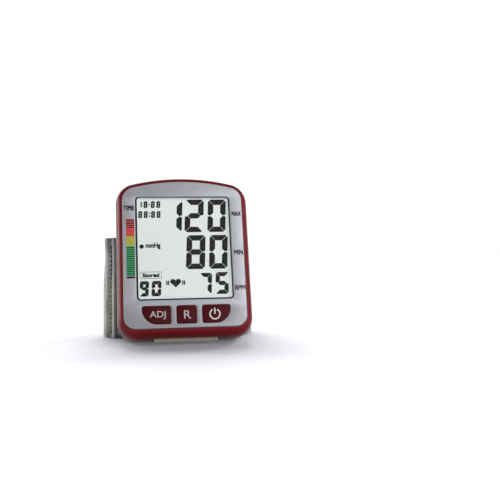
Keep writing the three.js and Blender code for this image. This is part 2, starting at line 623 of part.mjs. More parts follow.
/** The battery door: a panel in the case's floor with a finger tab under the front shell's notch. */
function batteryDoor() {
  const panel = block(-DOOR_WIDTH / 2 + SEAT, DOOR_WIDTH / 2 - SEAT, DOOR_FRONT + SEAT, HINGE_Y,
    CASE_FLOOR, CASE_FLOOR + DOOR_THICKNESS);
  const tabFront = FACE_Y - LOWEST * Math.sin(LEAN) + RIM_DEPTH * Math.cos(LEAN);
  const tab = block(-NOTCH_WIDTH / 2 + SEAT, NOTCH_WIDTH / 2 - SEAT, tabFront, DOOR_FRONT + 1,
    CASE_FLOOR, CASE_FLOOR + DOOR_TAB_THICKNESS);
  return join(panel, tab);
}
addPiece(group, 'battery_door', batteryDoor(), GREY_PLASTIC());

/** A battery cell along X with its nipple at the right-hand end. */
function cell(y, z) {
  const half = CELL_LENGTH / 2;
  return join(rod('x', CELL_RADIUS, -half, half, [0, y, z]),
    rod('x', CELL_NIPPLE_RADIUS, half - 1, half + CELL_NIPPLE, [0, y, z], 14));
}

/** A conical contact spring along X, one unbroken wire with a flat spiral rise. */
function contactSpring(y, z, from) {
  const turn = (share) => {
    const angle = share * SPRING_TURNS * 2 * Math.PI;
    const radius = SPRING_BASE_RADIUS + (SPRING_TIP_RADIUS - SPRING_BASE_RADIUS) * share;
    const rise = SPRING_WIRE + (SPRING_LENGTH - 2 * SPRING_WIRE) * share;
    return new THREE.Vector3(from + rise, y + radius * Math.cos(angle), z + radius * Math.sin(angle));
  };
  const steps = SPRING_TURNS * 10;
  const rings = [];
  for (let i = 0; i <= steps; i += 1) {
    const middle = turn(i / steps);
    const outward = new THREE.Vector3(0, middle.y - y, middle.z - z).normalize();
    rings.push([0, 1, 2, 3, 4].map((corner) => {
      const angle = (corner * 2 * Math.PI) / 5;
      return middle.clone().addScaledVector(outward, SPRING_WIRE * Math.cos(angle))
        .add(new THREE.Vector3(SPRING_WIRE * Math.sin(angle), 0, 0));
    }));
  }
  return loft(rings);
}

const CELL_RIGHT = CELL_LENGTH / 2 + CELL_NIPPLE + SEAT;
const SPRING_LEFT = -CELL_LENGTH / 2 - SEAT - SPRING_LENGTH;
[['lower', LOWER_CELL_Z], ['upper', UPPER_CELL_Z]].forEach(([label, z]) => {
  const y = cellY(z);
  addPiece(group, `battery_cell_${label}`, cell(y, z), CELL_JACKET());
  const half = TERMINAL_WIDTH / 2;
  addPiece(group, `battery_terminal_${label}`,
    block(CELL_RIGHT, CELL_RIGHT + TERMINAL_THICKNESS, y - half, y + half, z - half, z + half), STEEL());
  addPiece(group, `battery_spring_${label}`, contactSpring(y, z, SPRING_LEFT), STEEL());
});
const BRIDGE_RIGHT = SPRING_LEFT - FIT;
addPiece(group, 'battery_bridge', block(BRIDGE_RIGHT - TERMINAL_THICKNESS, BRIDGE_RIGHT,
  cellY(LOWER_CELL_Z), cellY(LOWER_CELL_Z) + TERMINAL_WIDTH / 2,
  LOWER_CELL_Z - TERMINAL_WIDTH / 2, UPPER_CELL_Z + TERMINAL_WIDTH / 2), STEEL());

// Speaker behind its grille, and the screws that hold the two halves of the housing
addPiece(housing, 'speaker',
  rod('z', SPEAKER_RADIUS, SPEAKER_BACK, BOARD_BACK - SEAT, [0, SPEAKER_Y, 0], 28), STEEL());
BOSSES.forEach(([x, y], i) => {
  const screw = join(rod('z', SCREW_RADIUS, -SCREW_SEAT - SEAT * 2, -SCREW_END, [x, y, 0], 12),
    rod('z', SCREW_HEAD_RADIUS, -SCREW_SEAT - SEAT - SCREW_HEAD_HEIGHT, -SCREW_SEAT - SEAT, [x, y, 0], 16));
  addPiece(housing, `case_screw_${i + 1}`, screw, STEEL());
});

// Air system in the wings and the space behind the board
const WING_Z = UPPER_CELL_Z + CELL_RADIUS + SEAT;
const HEAD_LOW = WING_Z + MOTOR_LENGTH + SEAT;
const HEAD_TOP = HEAD_LOW + PUMP_HEAD_LENGTH;
const PUMP_Y = boardBackAt(HEAD_TOP) + SEAT + PUMP_HEAD_RADIUS;
const VALVE_Y = boardBackAt(WING_Z + VALVE_LENGTH) + SEAT + VALVE_RADIUS;
const pumpAt = [PUMP_X, PUMP_Y, 0];
const valveAt = [-PUMP_X, VALVE_Y, 0];
const crankAt = [PUMP_X + CRANK_THROW, PUMP_Y, 0];
const CRANK_LOW = HEAD_LOW + SEAT;
const CRANK_TOP = CRANK_LOW + CRANK_THICKNESS;
const SHAFT_LOW = WING_Z + MOTOR_LENGTH / 3;
addPiece(group, 'pump_motor', cut(rod('z', PUMP_RADIUS, WING_Z, WING_Z + MOTOR_LENGTH, pumpAt, 24),
  rod('z', SHAFT_RADIUS + FIT, SHAFT_LOW - SEAT, HEAD_TOP, pumpAt, 12)), STEEL());
addPiece(group, 'pump_shaft', join(rod('z', SHAFT_RADIUS, SHAFT_LOW, CRANK_TOP, pumpAt, 12),
  rod('z', CRANK_RADIUS, CRANK_LOW, CRANK_TOP, crankAt, 16)), STEEL());
const pumpBarbZ = HEAD_TOP - BARB_RADIUS - 1;
addPiece(group, 'pump_head', join(
  cut(rod('z', PUMP_HEAD_RADIUS, HEAD_LOW, HEAD_TOP, pumpAt, 24),
    rod('z', CRANK_RADIUS + CRANK_THROW + SLIDE, HEAD_LOW - 1, CRANK_TOP + SLIDE, pumpAt, 20)),
  rod('x', BARB_RADIUS, -PUMP_HEAD_RADIUS - BARB_LENGTH, -PUMP_HEAD_RADIUS / 2,
    [PUMP_X, PUMP_Y, pumpBarbZ], 10)),
BLACK_RUBBER());
const VALVE_TOP = WING_Z + VALVE_LENGTH;
const valveBarbZ = MANIFOLD_Z - BARB_LENGTH;
addPiece(group, 'valve_body', join(
  cut(rod('z', VALVE_RADIUS, WING_Z, VALVE_TOP, valveAt, 24),
    rod('z', VALVE_PLUNGER_RADIUS + SLIDE, VALVE_TOP - VALVE_PLUNGER_LENGTH, VALVE_TOP + 1, valveAt, 14)),
  rod('x', BARB_RADIUS, VALVE_RADIUS / 2, VALVE_RADIUS + BARB_LENGTH, [-PUMP_X, VALVE_Y, valveBarbZ], 10)),
BLACK_RUBBER());
addPiece(group, 'valve_plunger', rod('z', VALVE_PLUNGER_RADIUS,
  VALVE_TOP - VALVE_PLUNGER_LENGTH + SEAT + VALVE_STROKE, VALVE_TOP + VALVE_STROKE, valveAt, 14), STEEL());

const MANIFOLD_BACK = CUFF_BEHIND - SADDLE_GAP - WALL - SEAT;
const MANIFOLD_Y = MANIFOLD_BACK - MANIFOLD_DEPTH / 2;
addPiece(group, 'air_manifold', join(
  block(-MANIFOLD_WIDTH / 2, MANIFOLD_WIDTH / 2, MANIFOLD_BACK - MANIFOLD_DEPTH, MANIFOLD_BACK,
    MANIFOLD_Z - MANIFOLD_HEIGHT / 2, MANIFOLD_Z + MANIFOLD_HEIGHT / 2),
  rod('x', BARB_RADIUS, -MANIFOLD_WIDTH / 2 - BARB_LENGTH, MANIFOLD_WIDTH / 2 + BARB_LENGTH,
    [0, MANIFOLD_Y, MANIFOLD_Z], 10)), WHITE_PLASTIC());

/** A hose over two barbs that point at each other along X, with its bore open. */
function hose(from, to) {
  const reach = (to.x - from.x) / 3;
  const path = new THREE.CubicBezierCurve3(from, from.clone().setX(from.x + reach),
    to.clone().setX(to.x - reach), to);
  const section = new THREE.Shape().absarc(0, 0, TUBE_RADIUS, 0, Math.PI * 2);
  section.holes.push(new THREE.Path().absarc(0, 0, TUBE_BORE, 0, Math.PI * 2));
  return solid(new THREE.ExtrudeGeometry(section, {
    steps: 2 * ARC_STEPS, curveSegments: ARC_STEPS, bevelEnabled: false, extrudePath: path,
  }));
}
const MANIFOLD_SIDE = MANIFOLD_WIDTH / 2 + SEAT;
addPiece(group, 'pump_hose', hose(new THREE.Vector3(MANIFOLD_SIDE, MANIFOLD_Y, MANIFOLD_Z),
  new THREE.Vector3(PUMP_X - PUMP_HEAD_RADIUS - SEAT, PUMP_Y, pumpBarbZ)), SILICONE());
addPiece(group, 'valve_hose', hose(new THREE.Vector3(-PUMP_X + VALVE_RADIUS + SEAT, VALVE_Y, valveBarbZ),
  new THREE.Vector3(-MANIFOLD_SIDE, MANIFOLD_Y, MANIFOLD_Z)), SILICONE());
addPiece(housing, 'pressure_sensor',
  prism(roundedRect(SENSOR_SIZE, SENSOR_SIZE, SENSOR_SIZE / 12, ...SENSOR_PLACE),
    BOARD_BACK - SEAT - SENSOR_THICKNESS, BOARD_BACK - SEAT), BLACK_RUBBER());

// Cuff layers, from the outside in
const ringSteps = (from, to) => Math.round((to - from) / RING_STEP);
const BODY_STEPS = ringSteps(CUFF_LEFT_END, CUFF_RIGHT_END);
const CLOTH_LOW = PIPING_HEIGHT + SEAT;
const CLOTH_HIGH = CUFF_HEIGHT - PIPING_HEIGHT - SEAT;
const FORMER_OUT = -COVER_THICKNESS - SEAT;
const BLADDER_OUT = FORMER_OUT - FORMER_THICKNESS - SEAT;
const LINING_EDGE = -BLADDER_OUT + BLADDER_EDGE + SEAT;
const LINING_CROWN = -BLADDER_OUT + BLADDER_CROWN + SEAT;
const inCuff = (body) => solid(geometryOf(body).translate(0, -CUFF_Y, 0));
const nozzleCut = inCuff(nozzleHole(NOZZLE_RADIUS + SLIDE));
const screwCuts = CUFF_SCREWS.map((screw) => inCuff(screwHole(screw, SCREW_RADIUS + SLIDE)));
const cuffBand = (...sweep) => solid(band(...sweep));

const coverBand = cuffBand(CUFF_LEFT_END, CUFF_RIGHT_END,
  flatSection(-COVER_THICKNESS, 0, CLOTH_LOW, CLOTH_HIGH), BODY_STEPS);
addPiece(cuff, 'cuff_cover', cut(coverBand, nozzleCut, ...screwCuts), CHARCOAL_CLOTH());
const formerBand = cuffBand(CUFF_LEFT_END + FORMER_MARGIN * 2, CUFF_RIGHT_END - FORMER_MARGIN * 2,
  flatSection(FORMER_OUT - FORMER_THICKNESS, FORMER_OUT, CLOTH_LOW + FORMER_MARGIN, CLOTH_HIGH - SEAT,
    FORMER_THICKNESS / 5), BODY_STEPS);
addPiece(cuff, 'cuff_former', cut(formerBand, nozzleCut, ...screwCuts), WHITE_PLASTIC());
const bladderLow = CLOTH_LOW + BLADDER_MARGIN;
const bladderHigh = CLOTH_HIGH - BLADDER_MARGIN;
addPiece(cuff, 'cuff_bladder', band(CUFF_LEFT_END + BLADDER_MARGIN, CUFF_RIGHT_END - BLADDER_MARGIN,
  crownedSection(BLADDER_OUT, BLADDER_EDGE, BLADDER_CROWN, bladderLow, bladderHigh), BODY_STEPS),
BLACK_RUBBER());

/** The lining: a skin that follows the bladder's crown and turns in to the cover at the cuff's edges. */
function liningSection() {
  const steps = 8;
  const outerSide = [];
  const innerSide = [];
  for (let i = 0; i <= steps; i += 1) {
    const share = i / steps;
    const z = CLOTH_LOW + (CLOTH_HIGH - CLOTH_LOW) * share;
    const swell = LINING_EDGE + (LINING_CROWN - LINING_EDGE) * Math.sin(Math.PI * share) ** 0.45;
    outerSide.push([-swell, z]);
    innerSide.unshift([-swell - LINING_THICKNESS, z]);
  }
  return [...outerSide, ...innerSide];
}
addPiece(cuff, 'cuff_lining', band(CUFF_LEFT_END, CUFF_RIGHT_END, liningSection(), BODY_STEPS),
  CHARCOAL_CLOTH());
const piping = (low) => band(CUFF_LEFT_END, CUFF_RIGHT_END,
  flatSection(-LINING_EDGE - LINING_THICKNESS, 0, low, low + PIPING_HEIGHT, PIPING_HEIGHT / 3), BODY_STEPS);
addPiece(cuff, 'piping_top', piping(CUFF_HEIGHT - PIPING_HEIGHT), CHARCOAL_CLOTH());
addPiece(cuff, 'piping_bottom', piping(0), CHARCOAL_CLOTH());

const nozzleFront = MANIFOLD_BACK + SEAT - CUFF_Y;
const nozzleBack = CUFF_BEHIND - BLADDER_OUT - SEAT - CUFF_Y;
addPiece(cuff, 'air_nozzle', cut(rod('y', NOZZLE_RADIUS, nozzleFront, nozzleBack, [0, 0, MANIFOLD_Z], 16),
  rod('y', NOZZLE_BORE, nozzleFront - 1, nozzleBack + 1, [0, 0, MANIFOLD_Z], 10)), WHITE_PLASTIC());
const formerFace = CUFF_BEHIND - BLADDER_OUT - CUFF_Y;
CUFF_SCREWS.forEach(([number, x]) => {
  const headEdge = Math.abs(x) + SCREW_HEAD_RADIUS;
  const sag = CUFF_HALF_DEPTH * (1 - Math.sqrt(1 - (headEdge / CUFF_HALF_WIDTH) ** 2));
  const seat = formerFace + sag;
  addPiece(cuff, `cuff_screw_${number}`, join(
    rod('y', SCREW_RADIUS, seat - CUFF_SCREW_LENGTH, seat + SEAT, [x, 0, CUFF_SCREW_Z], 12),
    rod('y', SCREW_HEAD_RADIUS, seat, seat + BLADDER_EDGE - SEAT, [x, 0, CUFF_SCREW_Z], 14)), STEEL());
});

// Strap: sewn to the cover on the right, split at its fold, and held over the cover's left end by hook tape
const STRAP_IN = SEAT;
const HOOK_LIFT = HOOK_THICKNESS + SEAT;
const strapSection = flatSection(STRAP_IN, STRAP_IN + STRAP_THICKNESS,
  STRAP_INSET, CUFF_HEIGHT - STRAP_INSET);
const splitDegrees = THREE.MathUtils.radToDeg(STRAP_SPLIT / 2 / CUFF_HALF_WIDTH);
const strapLift = (angle) =>
  HOOK_LIFT * THREE.MathUtils.smoothstep(angle, STRAP_HINGE, 360 + CUFF_LEFT_END - 2 * FORMER_MARGIN);
const anchorEnd = STRAP_HINGE - splitDegrees;
const strapStart = STRAP_HINGE + splitDegrees;
addPiece(cuff, 'strap_anchor', band(STRAP_RIGHT_EDGE, anchorEnd, strapSection,
  ringSteps(STRAP_RIGHT_EDGE, anchorEnd)), GREY_CLOTH());
addPiece(cuff, 'closing_strap', band(strapStart, STRAP_LEFT_EDGE, strapSection,
  ringSteps(strapStart, STRAP_LEFT_EDGE), strapLift), GREY_CLOTH());
addPiece(cuff, 'hook_tape', band(HOOK_START, STRAP_LEFT_EDGE - HOOK_MARGIN,
  flatSection(SEAT / 2, SEAT / 2 + HOOK_THICKNESS, CLOTH_LOW + HOOK_MARGIN, CLOTH_HIGH - HOOK_MARGIN,
    HOOK_THICKNESS / 4),
  ringSteps(HOOK_START, STRAP_LEFT_EDGE - HOOK_MARGIN)), BLACK_RUBBER());

// The origin is the middle of the part's footprint, on the floor
group.updateMatrixWorld(true);
const reach = new THREE.Box3().setFromObject(group, true);
const middle = reach.getCenter(new THREE.Vector3());
group.position.set(-middle.x, -middle.y, -reach.min.z);

export default group;
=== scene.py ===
"""Looks of a wrist blood pressure monitor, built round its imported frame.

The housing's shell, faceplate, keys and display marks are drawn in face coordinates: u right, v up the face
and w out of it, in millimetres from the display's centre. The cuff and its strap are drawn round the cuff's
ring.
"""

import json
import logging
import math
from dataclasses import dataclass, field
from enum import Enum
from typing import Any, Callable, Sequence

import bmesh
import bpy
from mathutils import Matrix, Vector, noise

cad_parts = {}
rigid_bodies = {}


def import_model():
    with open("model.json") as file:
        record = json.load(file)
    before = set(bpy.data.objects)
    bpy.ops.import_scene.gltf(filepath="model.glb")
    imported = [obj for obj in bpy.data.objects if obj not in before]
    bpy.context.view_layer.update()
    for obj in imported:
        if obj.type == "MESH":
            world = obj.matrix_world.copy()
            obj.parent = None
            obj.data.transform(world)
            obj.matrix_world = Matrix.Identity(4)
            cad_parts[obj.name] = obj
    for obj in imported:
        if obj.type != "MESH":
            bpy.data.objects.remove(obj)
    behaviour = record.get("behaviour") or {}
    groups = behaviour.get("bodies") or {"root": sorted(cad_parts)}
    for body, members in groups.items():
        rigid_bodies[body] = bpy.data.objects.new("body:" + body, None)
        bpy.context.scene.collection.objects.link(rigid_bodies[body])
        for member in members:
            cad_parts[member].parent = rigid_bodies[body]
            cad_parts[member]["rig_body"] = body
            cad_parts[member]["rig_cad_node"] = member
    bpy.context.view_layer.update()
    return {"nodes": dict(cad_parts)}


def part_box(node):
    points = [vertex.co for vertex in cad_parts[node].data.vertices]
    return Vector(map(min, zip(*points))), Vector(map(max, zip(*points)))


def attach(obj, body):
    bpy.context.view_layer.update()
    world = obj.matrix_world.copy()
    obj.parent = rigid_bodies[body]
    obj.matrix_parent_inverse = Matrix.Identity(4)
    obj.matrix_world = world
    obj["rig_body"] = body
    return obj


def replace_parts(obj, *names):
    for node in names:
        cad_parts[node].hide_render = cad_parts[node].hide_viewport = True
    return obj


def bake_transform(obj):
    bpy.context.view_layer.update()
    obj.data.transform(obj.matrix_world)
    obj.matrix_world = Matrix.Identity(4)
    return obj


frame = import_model()

log = logging.getLogger("monitor")

MM = 0.001
PLATE_PROUD = 0.3
# attribute of pressed pile and painted shade on the strap's cloth
PILE_PRESS_AND_SHADE = "pile_press_and_painted_shade"
ROOT = "monitor"
STRAP_BODY = "strap"

Point2 = tuple[float, float]
Box = tuple[float, float, float, float]
Place = tuple[float, float, float]
Piece = bpy.types.Object
Tree = bpy.types.NodeTree
Socket = bpy.types.NodeSocket
Faces = list[tuple[int, ...]]


def ease(value: float, start: float, end: float) -> float:
    """A smooth step from 0 to 1 between two values."""
    share = min(max((value - start) / (end - start), 0.0), 1.0)
    return share * share * (3 - 2 * share)


# Colour and node helpers


def linear(hex_colour: str, alpha: float = 1.0) -> Box:
    """Turns an sRGB hex colour into linear values.

    Args:
        hex_colour: Six hex digits with a leading hash.
        alpha: The fourth value.

    Returns:
        Linear red, green, blue and alpha.
    """
    values = [int(hex_colour[i:i + 2], 16) / 255 for i in (1, 3, 5)]
    red, green, blue = (v / 12.92 if v <= 0.04045 else ((v + 0.055) / 1.055) ** 2.4 for v in values)
    return red, green, blue, alpha


def add_node(tree: Tree, kind: str, settings: dict[str, Any] | None = None,
             inputs: dict[str | int, Any] | None = None) -> bpy.types.Node:
    """Adds a shader node with its settings, values and links.

    Args:
        tree: The node tree.
        kind: The node's type.
        settings: Attributes to set on the node.
        inputs: Socket name or index to a value, or to the output socket that feeds it.

    Returns:
        The new node.
    """
    made = tree.nodes.new(kind)
    for name, value in (settings or {}).items():
        setattr(made, name, value)
    for name, value in (inputs or {}).items():
        if isinstance(value, Socket):
            tree.links.new(value, made.inputs[name])
        else:
            made.inputs[name].default_value = value
    return made


def per_mm(size_mm: float) -> float:
    """The texture scale, in a frame of metres, at which one cell is that many millimetres."""
    return 1000.0 / size_mm


@dataclass(frozen=True)
class Finish:
    """A surface with its colour and gloss; each kind of surface adds its own pattern.

    Args:
        name: The material's name, for what the real one is.
        colour: Main colour, sRGB hex.
        roughness: Mean roughness.
    """

    name: str
    colour: str
    roughness: float

    def sockets(self) -> dict[str, Any]:
        """The values that are the same all over the surface."""
        return {"Roughness": self.roughness, "Base Color": linear(self.colour)}

    def pattern(self, tree: Tree, place: Socket) -> dict[str, Any]:
        """Adds the surface's pattern.

        Args:
            tree: The material's node tree.
            place: Socket of a place on the surface, in metres.

        Returns:
            The shader inputs that it drives.
        """
        return {}

    def build(self) -> bpy.types.Material:
        """Makes the material, or returns it if it is there already."""
        found = bpy.data.materials.get(self.name)
        if found:
            return found
        material = bpy.data.materials.new(self.name)
        material.use_nodes = True
        tree = material.node_tree
        tree.nodes.clear()
        place = add_node(tree, "ShaderNodeTexCoord").outputs["Object"]
        inputs = {**self.sockets(), **self.pattern(tree, place)}
        shader = add_node(tree, "ShaderNodeBsdfPrincipled", inputs=inputs)
        add_node(tree, "ShaderNodeOutputMaterial", inputs={"Surface": shader.outputs["BSDF"]})
        material.diffuse_color = linear(self.colour)
        return material


def clouds(tree: Tree, place: Socket, size_mm: float, detail: float, roughness: float = 0.5) -> Socket:
    """Noise whose cells have a size in millimetres."""
    return add_node(tree, "ShaderNodeTexNoise", inputs={
        "Vector": place, "Scale": per_mm(size_mm), "Detail": detail, "Roughness": roughness}).outputs["Fac"]


def mixed(tree: Tree, share: Socket, low: Any, high: Any, kind: str = "MIX") -> Socket:
    """Mixes two colours, or sockets of colours, by a share, as the kind of blend says."""
    settings = {"data_type": "RGBA", "blend_type": kind}
    return add_node(tree, "ShaderNodeMix", settings, {0: share, 6: low, 7: high}).outputs[2]


def mottle(tree: Tree, place: Socket, size_mm: float, low: Any, high: Any,
           detail: float = 3.0, spread: Point2 = (0.3, 0.7)) -> Socket:
    """A cloudy change between two colours.

    Args:
        tree: The material's node tree.
        place: Where on the surface.
        size_mm: Size of the clouds.
        low: Colour, or socket, at one end.
        high: Colour, or socket, at the other.
        detail: Octaves of finer clouds.
        spread: Range of the noise that the change covers.

    Returns:
        The colour socket.
    """
    share = add_node(tree, "ShaderNodeMapRange", inputs={
        "Value": clouds(tree, place, size_mm, detail), "From Min": spread[0], "From Max": spread[1]})
    return mixed(tree, share.outputs["Result"], low, high)


def varied_gloss(tree: Tree, place: Socket, size_mm: float,
                 low: float, high: float) -> Socket:
    """A roughness that wanders between two values, as handling and moulding leave it.

    Args:
        tree: The material's node tree.
        place: Where on the surface.
        size_mm: Size of the patches.
        low: Least roughness.
        high: Most roughness.

    Returns:
        The roughness socket.
    """
    patches = clouds(tree, place, size_mm, 2.0)
    value = add_node(tree, "ShaderNodeMapRange", inputs={
        "Value": patches, "From Min": 0.3, "From Max": 0.7, "To Min": low, "To Max": high})
    return value.outputs["Result"]


def bumped(tree: Tree, height: Socket, depth_mm: float,
           strength: float = 1.0) -> Socket:
    """A bump of that depth.

    Args:
        tree: The material's node tree.
        height: Socket with the height from 0 to 1.
        depth_mm: Height of the bumps.
        strength: How much of it shows.

    Returns:
        The normal socket.
    """
    bump = add_node(tree, "ShaderNodeBump", inputs={
        "Height": height, "Distance": depth_mm * MM, "Strength": strength})
    return bump.outputs["Normal"]


@dataclass(frozen=True)
class MouldedPlastic(Finish):
    """Injection-moulded ABS: a dense dyed colour, and a fine grain from the mould that breaks its gloss.

    Args:
        shade: Colour of the faintly darker flow patches.
        edge: Colour that sharp edges go to: rubbed wear, and a painted highlight along rims and key edges.
        grain_mm: Size of the mould's grain; drawn about twice as coarse as it is, so that it shows.
        grain_depth_mm: Depth of the grain.
        coat: Weight of the clear gloss on top.
        gloss: How strongly the surface shines, 0.5 being bare plastic.
    """

    shade: str = "#000000"
    edge: str = "#ffffff"
    grain_mm: float = 0.35
    grain_depth_mm: float = 0.012
    coat: float = 0.0
    gloss: float = 0.4

    def sockets(self) -> dict[str, Any]:
        """Dielectric values of ABS."""
        return {"IOR": 1.53, "Specular IOR Level": self.gloss,
                "Coat Weight": self.coat, "Coat Roughness": 0.12}

    def pattern(self, tree: Tree, place: Socket) -> dict[str, Any]:
        """Flow patches, edges lightened as rubbed wear and as a painted highlight, wandering gloss and grain.

        Args:
            tree: The material's node tree.
            place: Socket of a place on the surface, in metres.

        Returns:
            The shader inputs that it drives.
        """
        body = mottle(tree, place, 9.0, linear(self.colour), linear(self.shade))
        # painted highlight and wear: sharp edges are mixed towards the lighter edge colour
        corner = add_node(tree, "ShaderNodeNewGeometry")
        edge_wear_and_highlight = add_node(tree, "ShaderNodeMapRange", inputs={
            "Value": corner.outputs["Pointiness"], "From Min": 0.53, "From Max": 0.62, "To Max": 0.35})
        return {
            "Base Color": mixed(tree, edge_wear_and_highlight.outputs["Result"], body, linear(self.edge)),
            "Roughness": varied_gloss(tree, place, 6.0, self.roughness - 0.05, self.roughness + 0.07),
            "Normal": bumped(tree, clouds(tree, place, self.grain_mm, 2.0), self.grain_depth_mm),
        }


@dataclass(frozen=True)
class MetallicPaint(Finish):
    """Silver metallic lacquer on a moulded plate: aluminium flakes that twinkle under a satin clear coat.

    Args:
        flake: Colour of the flakes that lie the other way.
        flake_mm: Size of a flake; drawn several times as coarse as it is, so that it shows.
        metallic: How much of the surface is metal.
        lower_shade_tint: Tint of the painted shade on the plate's lower part, round the keys.
        lower_shade_mm: Heights between which the painted shade fades out.
    """

    flake: str = "#ffffff"
    flake_mm: float = 0.22
    metallic: float = 0.6
    lower_shade_tint: str = "#e3e1e1"
    lower_shade_mm: Point2 = (17.5, 22.5)

    def sockets(self) -> dict[str, Any]:
        """Metal flakes under lacquer."""
        return {"Metallic": self.metallic, "Coat Weight": 0.15, "Coat Roughness": 0.5}

    def pattern(self, tree: Tree, place: Socket) -> dict[str, Any]:
        """Flakes, a slow change of tone, painted shade on the plate's lower part round the keys, and a faint
        orange peel.

        Args:
            tree: The material's node tree.
            place: Socket of a place on the surface, in metres.

        Returns:
            The shader inputs that it drives.
        """
        tone = mottle(tree, place, 26.0, linear(self.colour), linear(self.flake), 2.0, (0.1, 1.6))
        flakes = add_node(tree, "ShaderNodeTexVoronoi", inputs={
            "Vector": place, "Scale": per_mm(self.flake_mm)})
        twinkle = add_node(tree, "ShaderNodeMapRange", inputs={
            "Value": flakes.outputs["Color"], "To Max": 0.22})
        colour = mixed(tree, twinkle.outputs["Result"], tone, linear(self.flake))
        # painted shade: the plate is darkened below the keys' upper edge, fading out upwards
        height = add_node(tree, "ShaderNodeSeparateXYZ", inputs={"Vector": place})
        lower_shade_share = add_node(tree, "ShaderNodeMapRange", {"interpolation_type": "SMOOTHSTEP"}, {
            "Value": height.outputs["Z"], "From Min": self.lower_shade_mm[0] * MM, "From Max": self.lower_shade_mm[1] * MM,
            "To Min": 1.0, "To Max": 0.0})
        return {
            "Base Color": mixed(tree, lower_shade_share.outputs["Result"], colour, linear(self.lower_shade_tint), "MULTIPLY"),
            "Roughness": varied_gloss(tree, place, 4.0, self.roughness - 0.04, self.roughness + 0.05),
            "Normal": bumped(tree, clouds(tree, place, 1.1, 1.0), 0.006),
        }


@dataclass(frozen=True)
class PileCloth(Finish):
    """Brushed nylon loop cloth: matted loops that scatter light softly and shade into each other.

    A mesh may say where its pile is pressed flat and where it lies in shade; both show as a darker tint, the
    shade being painted shade.

    Args:
        dark: Colour between the loops.
        pressed_and_shaded_tint: Tint where the pile is pressed flat, and painted shade where a mesh marks it.
        light: Colour of the combed-up tufts.
        loop_mm: Size of a loop; drawn about twice as coarse as it is, so that it shows.
        loop_depth_mm: Height of the pile.
        sheen: Weight of the fuzz seen at a grazing angle.
        comb: Stretch of the loops along Z, from the way that the pile was brushed.
    """

    dark: str = "#000000"
    pressed_and_shaded_tint: str = "#a8a7a6"
    light: str = "#ffffff"
    loop_mm: float = 0.7
    loop_depth_mm: float = 0.25
    sheen: float = 0.35
    comb: float = 0.45

    def sockets(self) -> dict[str, Any]:
        """Nylon under a fuzz."""
        return {"IOR": 1.5, "Roughness": self.roughness, "Specular IOR Level": 0.2,
                "Sheen Weight": self.sheen, "Sheen Roughness": 0.5}

    def pattern(self, tree: Tree, place: Socket) -> dict[str, Any]:
        """Combed loops, tufts, matted patches, and the pressed pile and painted shade that a mesh marks.

        Args:
            tree: The material's node tree.
            place: Socket of a place on the surface, in metres.

        Returns:
            The shader inputs that it drives.
        """
        combed = add_node(tree, "ShaderNodeMapping", inputs={
            "Vector": place, "Scale": (1.0, 1.0, self.comb)}).outputs["Vector"]
        loops = add_node(tree, "ShaderNodeTexVoronoi", inputs={
            "Vector": combed, "Scale": per_mm(self.loop_mm), "Randomness": 0.9})
        fuzz = clouds(tree, combed, self.loop_mm * 2.2, 5.0, 0.7)
        depth = add_node(tree, "ShaderNodeMapRange", inputs={
            "Value": loops.outputs["Distance"], "From Max": 0.8})
        body = mottle(tree, combed, 7.0, linear(self.colour), linear(self.light), 4.0, (0.42, 0.78))
        colour = mixed(tree, depth.outputs["Result"], body, linear(self.dark))
        height = add_node(tree, "ShaderNodeMath", {"operation": "SUBTRACT"}, {
            0: fuzz, 1: depth.outputs["Result"]})
        # pressed pile and painted shade: a mesh attribute darkens the colour
        press = add_node(tree, "ShaderNodeAttribute", {"attribute_name": PILE_PRESS_AND_SHADE})
        return {"Base Color": mixed(tree, press.outputs["Fac"], colour, linear(self.pressed_and_shaded_tint), "MULTIPLY"),
                "Normal": bumped(tree, height.outputs["Value"], self.loop_depth_mm)}


@dataclass(frozen=True)
class Thread(Finish):
    """Twisted polyester thread: fine diagonal plies with a faint sheen.

    Args:
        ply_mm: Width of a ply.
    """

    ply_mm: float = 0.25

    def pattern(self, tree: Tree, place: Socket) -> dict[str, Any]:
        """Plies as a slanted wave.

        Args:
            tree: The material's node tree.
            place: Socket of a place on the surface, in metres.

        Returns:
            The shader inputs that it drives.
        """
        slanted = add_node(tree, "ShaderNodeMapping", inputs={
            "Vector": place, "Rotation": (0.7, 0.5, 0.4)}).outputs["Vector"]
        plies = add_node(tree, "ShaderNodeTexWave", inputs={
            "Vector": slanted, "Scale": per_mm(self.ply_mm) / 6.0, "Distortion": 1.0})
        dim = tuple(0.6 * c for c in linear(self.colour)[:3]) + (1.0,)
        return {"Base Color": mixed(tree, plies.outputs["Fac"], dim, linear(self.colour)),
                "Normal": bumped(tree, plies.outputs["Fac"], 0.04)}


@dataclass(frozen=True)
class Ink(Finish):
    """Screen-printed ink: flat and even, a little uneven in gloss where the film is thin.

    Args:
        thin: Colour where the ground shows through the film.
    """

    thin: str = "#ffffff"

    def sockets(self) -> dict[str, Any]:
        """A film with next to no gloss."""
        return {"Specular IOR Level": 0.06}

    def pattern(self, tree: Tree, place: Socket) -> dict[str, Any]:
        """A slight speckle of the ground through the film.

        Args:
            tree: The material's node tree.
            place: Socket of a place on the surface, in metres.

        Returns:
            The shader inputs that it drives.
        """
        film = mottle(tree, place, 0.8, linear(self.colour), linear(self.thin), 2.0, (0.35, 1.6))
        return {"Base Color": film,
                "Roughness": varied_gloss(tree, place, 1.5, self.roughness - 0.05, self.roughness + 0.05)}


